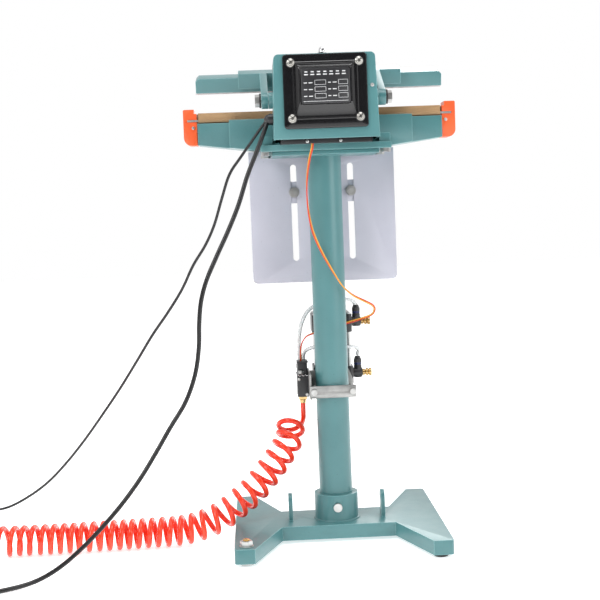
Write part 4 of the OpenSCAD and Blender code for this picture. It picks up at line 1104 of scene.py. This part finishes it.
# %% Valve details
valve_screws = [lathe("screw", (x, 22, z), "-y", [(0, 2.4), (1.4, 2.3), (1.9, 1.6), (1.9, 1.1), (1.2, 1.0),
                                                  (1.2, 0)], 32)
                for x, z in ((-49.4, 237.6), (-37.6, 213.4))]
finished(joined("valve_screws", valve_screws), "frame", zinc)
clip = []
for k in range(25):
    x = -52 + 17.0 * k / 24
    wave = 0.9 * math.sin(2 * math.pi * k / 8)
    clip.append(Vector((x, 20.6 + 0.2 * wave, 243.6 + wave)) * MM)
clip_curve = cord_curve("valve_clip", clip, 1.4 * MM, 3)
finished(clip_curve, "frame", chrome)
nut_loops = [ring(Vector((-46.4, 21.6, 246)) * MM, "z", r * MM, a * MM, 6)
             for a, r in ((0, 3.6), (0.6, 4.2), (4.6, 4.2), (5.2, 3.6))]
coil_nut = loft("coil_nut", nut_loops)
finished(coil_nut, "frame", bracket_zinc)
elbows = []
for x, height in ((-47, 18), (-40, 18)):
    elbows.append(lathe("elbow", (x, 56, 242), "z", [(0, 5.2), (0.4, 5.6), (2.6, 5.6), (3, 4.4), (9, 4.4),
                                                     (9.4, 4.9),
                                                  (15, 4.9), (15.6, 4.4), (19, 4.2), (19.4, 3.6),
                                                  (19.4, 3.05), (16, 3.05)],
                        40, 12, 0.35, (6, 7)))
finished(joined("valve_elbows", elbows), "frame", matt_black)
coil_lid = soft_box("coil_lid", (-52, 22.6, 262.4), (-34.6, 48.2, 265), 2.2, 0.6, "z")
finished(coil_lid, "frame", matt_black)
inlet_outline = [(0, 4.0), (0.4, 4.6), (4, 4.6), (4.4, 5.6), (5.2, 5.6), (5.6, 4.5), (6.6, 4.5)]
inlet_stem = lathe("inlet_stem", (-44, 40, 198), "z", inlet_outline, 48)
hex_outline = [ring(Vector((-44, 40, 204)) * MM, "z", r * MM, a * MM, 6)
               for a, r in ((0, 6.1), (0.5, 6.9), (5.4, 6.9), (6, 6.1))]
finished(joined("inlet_fitting", [inlet_stem, loft("inlet_hex", hex_outline)]), "frame", brass,
         ("hose_inlet",))
print("valve ready")

# %% [markdown]
# ## Cylinder details
# The two end caps of a square air cylinder are pulled together by four long tie rods, which run outside the
# tube. Each cap shows a socket at the end of every rod. The air runs in through a port on the side.

# %% Tie rods
rods = []
for sx in (-1, 1):
    for sy in (-1, 1):
        rods.append(lathe("tie_rod", (5 + 25.4 * sx, 62 + 25.4 * sy, 253), "z", [(0, 2.6), (54, 2.6)], 24))
        rods.append(lathe("rod_head", (5 + 25.4 * sx, 62 + 25.4 * sy, 334.4), "z",
                          [(0, 4.2), (1.6, 4.2), (2.2, 3.6), (2.2, 2.2), (0.8, 2.0), (0.8, 0)], 24))
finished(joined("tie_rods", rods), "frame", zinc)
rod_seal = lathe("rod_seal", (5, 62, 340), "z", [(0, 13), (1.2, 12.6), (2.2, 10.4), (2.4, 8.3)], 40)
finished(rod_seal, "frame", rubber)
print("cylinder ready")

# %% [markdown]
# ## Base details
# The collar bolt, the levelling stud with its nut and washer, and a weld bead round the foot of the collar
# are what is seen on the base. A weld bead is a row of small overlapping ripples, so its radius rises and
# falls.

# %% Weld bead
bead = []
for k in range(240):
    angle = 2 * math.pi * k / 240
    ripple = 0.16 * math.sin(60 * angle)
    loop = []
    for m in range(10):
        turn = 2 * math.pi * m / 10
        radius = 33.2 + (1.9 + ripple) * math.cos(turn)
        height = 26.2 + (1.9 + ripple) * math.sin(turn)
        loop.append(Vector((radius * math.cos(angle), radius * math.sin(angle), height)) * MM)
    bead.append(loop)
weld_bead = finished(loft("weld_bead", bead, 80, closed=True), "frame", teal_enamel)
print("weld bead", len(weld_bead.data.polygons), "faces")

# %% [markdown]
# ## Feet
# Three corners of the base stand on rubber buffers, and the fourth has a screw foot that takes out any
# rocking. Its stud is brass, so that it doesn't rust in the casting, and a plated nut locks it from above.

# %% Feet
FOOT_X, FOOT_Y = 138, 142
buffers = [lathe("buffer", (x, y, 0), "z", [(0, 10.2), (0.7, 10.8), (3.6, 11.8), (5, 12)], 48)
           for x, y in ((FOOT_X, FOOT_Y), (FOOT_X, -FOOT_Y), (-FOOT_X, FOOT_Y))]
finished(joined("rubber_buffers", buffers), "frame", rubber, ("rubber_feet",))
thread = [(5, 4.7)] + [(34.6 + 0.4 * k, 4.3 + 0.5 * (k % 2)) for k in range(6)] + [(37, 3.9), (37, 0)]
stud = lathe("levelling_stud", (-FOOT_X, -FOOT_Y, 0), "z", thread, 32)
finished(stud, "frame", brass)
lock_hex = loft("lock_hex", [ring(Vector((-FOOT_X, -FOOT_Y, 0)) * MM, "z", r * MM, a * MM, 6)
                             for a, r in ((27.6, 8.4), (28.2, 9.2), (34, 9.2), (34.6, 8.2))])
lock_washer = lathe("lock_washer", (-FOOT_X, -FOOT_Y, 0), "z",
                    [(26, 9.8), (26.2, 10), (27.4, 10), (27.6, 9.7)], 48)
foot_pad = lathe("foot_pad", (-FOOT_X, -FOOT_Y, 0), "z", [(0, 9.4), (0.5, 9.9), (4.4, 9.9), (5, 9.4)], 48)
finished(joined("levelling_screw", [lock_hex, lock_washer, foot_pad]), "frame", zinc,
         ("levelling_foot",))
print("feet ready")

# %% [markdown]
# ## Floor and light
# The machine stands on a plain pale floor. Four soft lamps light it, two at its rear sides, one above and
# one on the operator's side. The surround is bright behind the machine and darker towards the camera, so
# that the enamel shows its colour and the gloss stays in narrow bands along the edges.

# %% Floor
floor_mesh = bpy.data.meshes.new("studio_floor")
floor_mesh.from_pydata([(-8, -8, 0), (8, -8, 0), (8, 8, 0), (-8, 8, 0)], [], [(0, 1, 2, 3)])
floor = bpy.data.objects.new("studio_floor", floor_mesh)
floor.location.z = -0.0002
bpy.context.scene.collection.objects.link(floor)
floor_material, floor_tree, floor_shader = fresh_material("studio_floor")
floor_tone = ramp(floor_tree, noise(floor_tree, coordinates(floor_tree), 1.5, 2.0),
                  [(0.3, (0.93, 0.93, 0.93)), (0.7, (0.95, 0.95, 0.95))])
floor_tree.links.new(floor_tone, floor_shader.inputs["Base Color"])
floor_shader.inputs["Roughness"].default_value = 0.9
floor_shader.inputs["Specular IOR Level"].default_value = 0.1
floor_shader.inputs["Emission Color"].default_value = (1.0, 1.0, 1.0, 1.0)
floor_shader.inputs["Emission Strength"].default_value = 0.6
floor_mesh.materials.append(floor_material)

# %% Lights
world = bpy.data.worlds.new("studio_surround")
world.use_nodes = True
surround_tree = world.node_tree
surround = surround_tree.nodes["Background"]
backdrop = surround_tree.nodes.new("ShaderNodeBackground")
backdrop.inputs["Color"].default_value = (1.0, 1.0, 1.0, 1.0)
backdrop.inputs["Strength"].default_value = 1.0
heading = surround_tree.nodes.new("ShaderNodeTexCoord")
heading_axes = surround_tree.nodes.new("ShaderNodeSeparateXYZ")
surround_tree.links.new(heading.outputs["Generated"], heading_axes.inputs["Vector"])
depth_share = surround_tree.nodes.new("ShaderNodeMapRange")
depth_share.inputs["From Min"].default_value = -1.0
depth_share.inputs["From Max"].default_value = 1.0
surround_tree.links.new(heading_axes.outputs["Y"], depth_share.inputs["Value"])
surround_tone = ramp(surround_tree, depth_share.outputs["Result"],
                [(0.02, (0.12, 0.12, 0.12)), (0.2, (0.2, 0.2, 0.2)), (0.4, (0.85, 0.85, 0.85)),
                 (0.6, (1.0, 1.0, 1.0))])
surround_tree.links.new(surround_tone, surround.inputs["Color"])
surround.inputs["Strength"].default_value = 0.8
ray_kind = surround_tree.nodes.new("ShaderNodeLightPath")
shown_surround = surround_tree.nodes.new("ShaderNodeMixShader")
surround_tree.links.new(ray_kind.outputs["Is Camera Ray"], shown_surround.inputs["Fac"])
surround_tree.links.new(surround.outputs["Background"], shown_surround.inputs[1])
surround_tree.links.new(backdrop.outputs["Background"], shown_surround.inputs[2])
world_output = surround_tree.nodes["World Output"]
surround_tree.links.new(shown_surround.outputs["Shader"], world_output.inputs["Surface"])
bpy.context.scene.world = world
bpy.context.scene.view_settings.view_transform = "Standard"


def soft_lamp(name, place, aim, size, power):
    """A square soft lamp that looks at a point."""
    data = bpy.data.lights.new(name, "AREA")
    data.shape = "SQUARE"
    data.size = size
    data.energy = power
    lamp = bpy.data.objects.new(name, data)
    lamp.location = place
    lamp.rotation_mode = "QUATERNION"
    lamp.rotation_quaternion = (Vector(aim) - Vector(place)).to_track_quat("-Z", "Y")
    bpy.context.scene.collection.objects.link(lamp)
    return lamp


soft_lamp("key_lamp", (-1.7, -1.9, 1.8), (0, 0, 0.45), 1.2, 33)
soft_lamp("fill_lamp", (1.9, -1.7, 1.0), (0, 0, 0.4), 1.4, 19)
soft_lamp("top_lamp", (0.1, -0.5, 2.3), (0, 0, 0.4), 1.2, 20)
soft_lamp("back_lamp", (0.9, 2.1, 1.5), (0, 0, 0.45), 1.4, 22)
print("lamps ready")
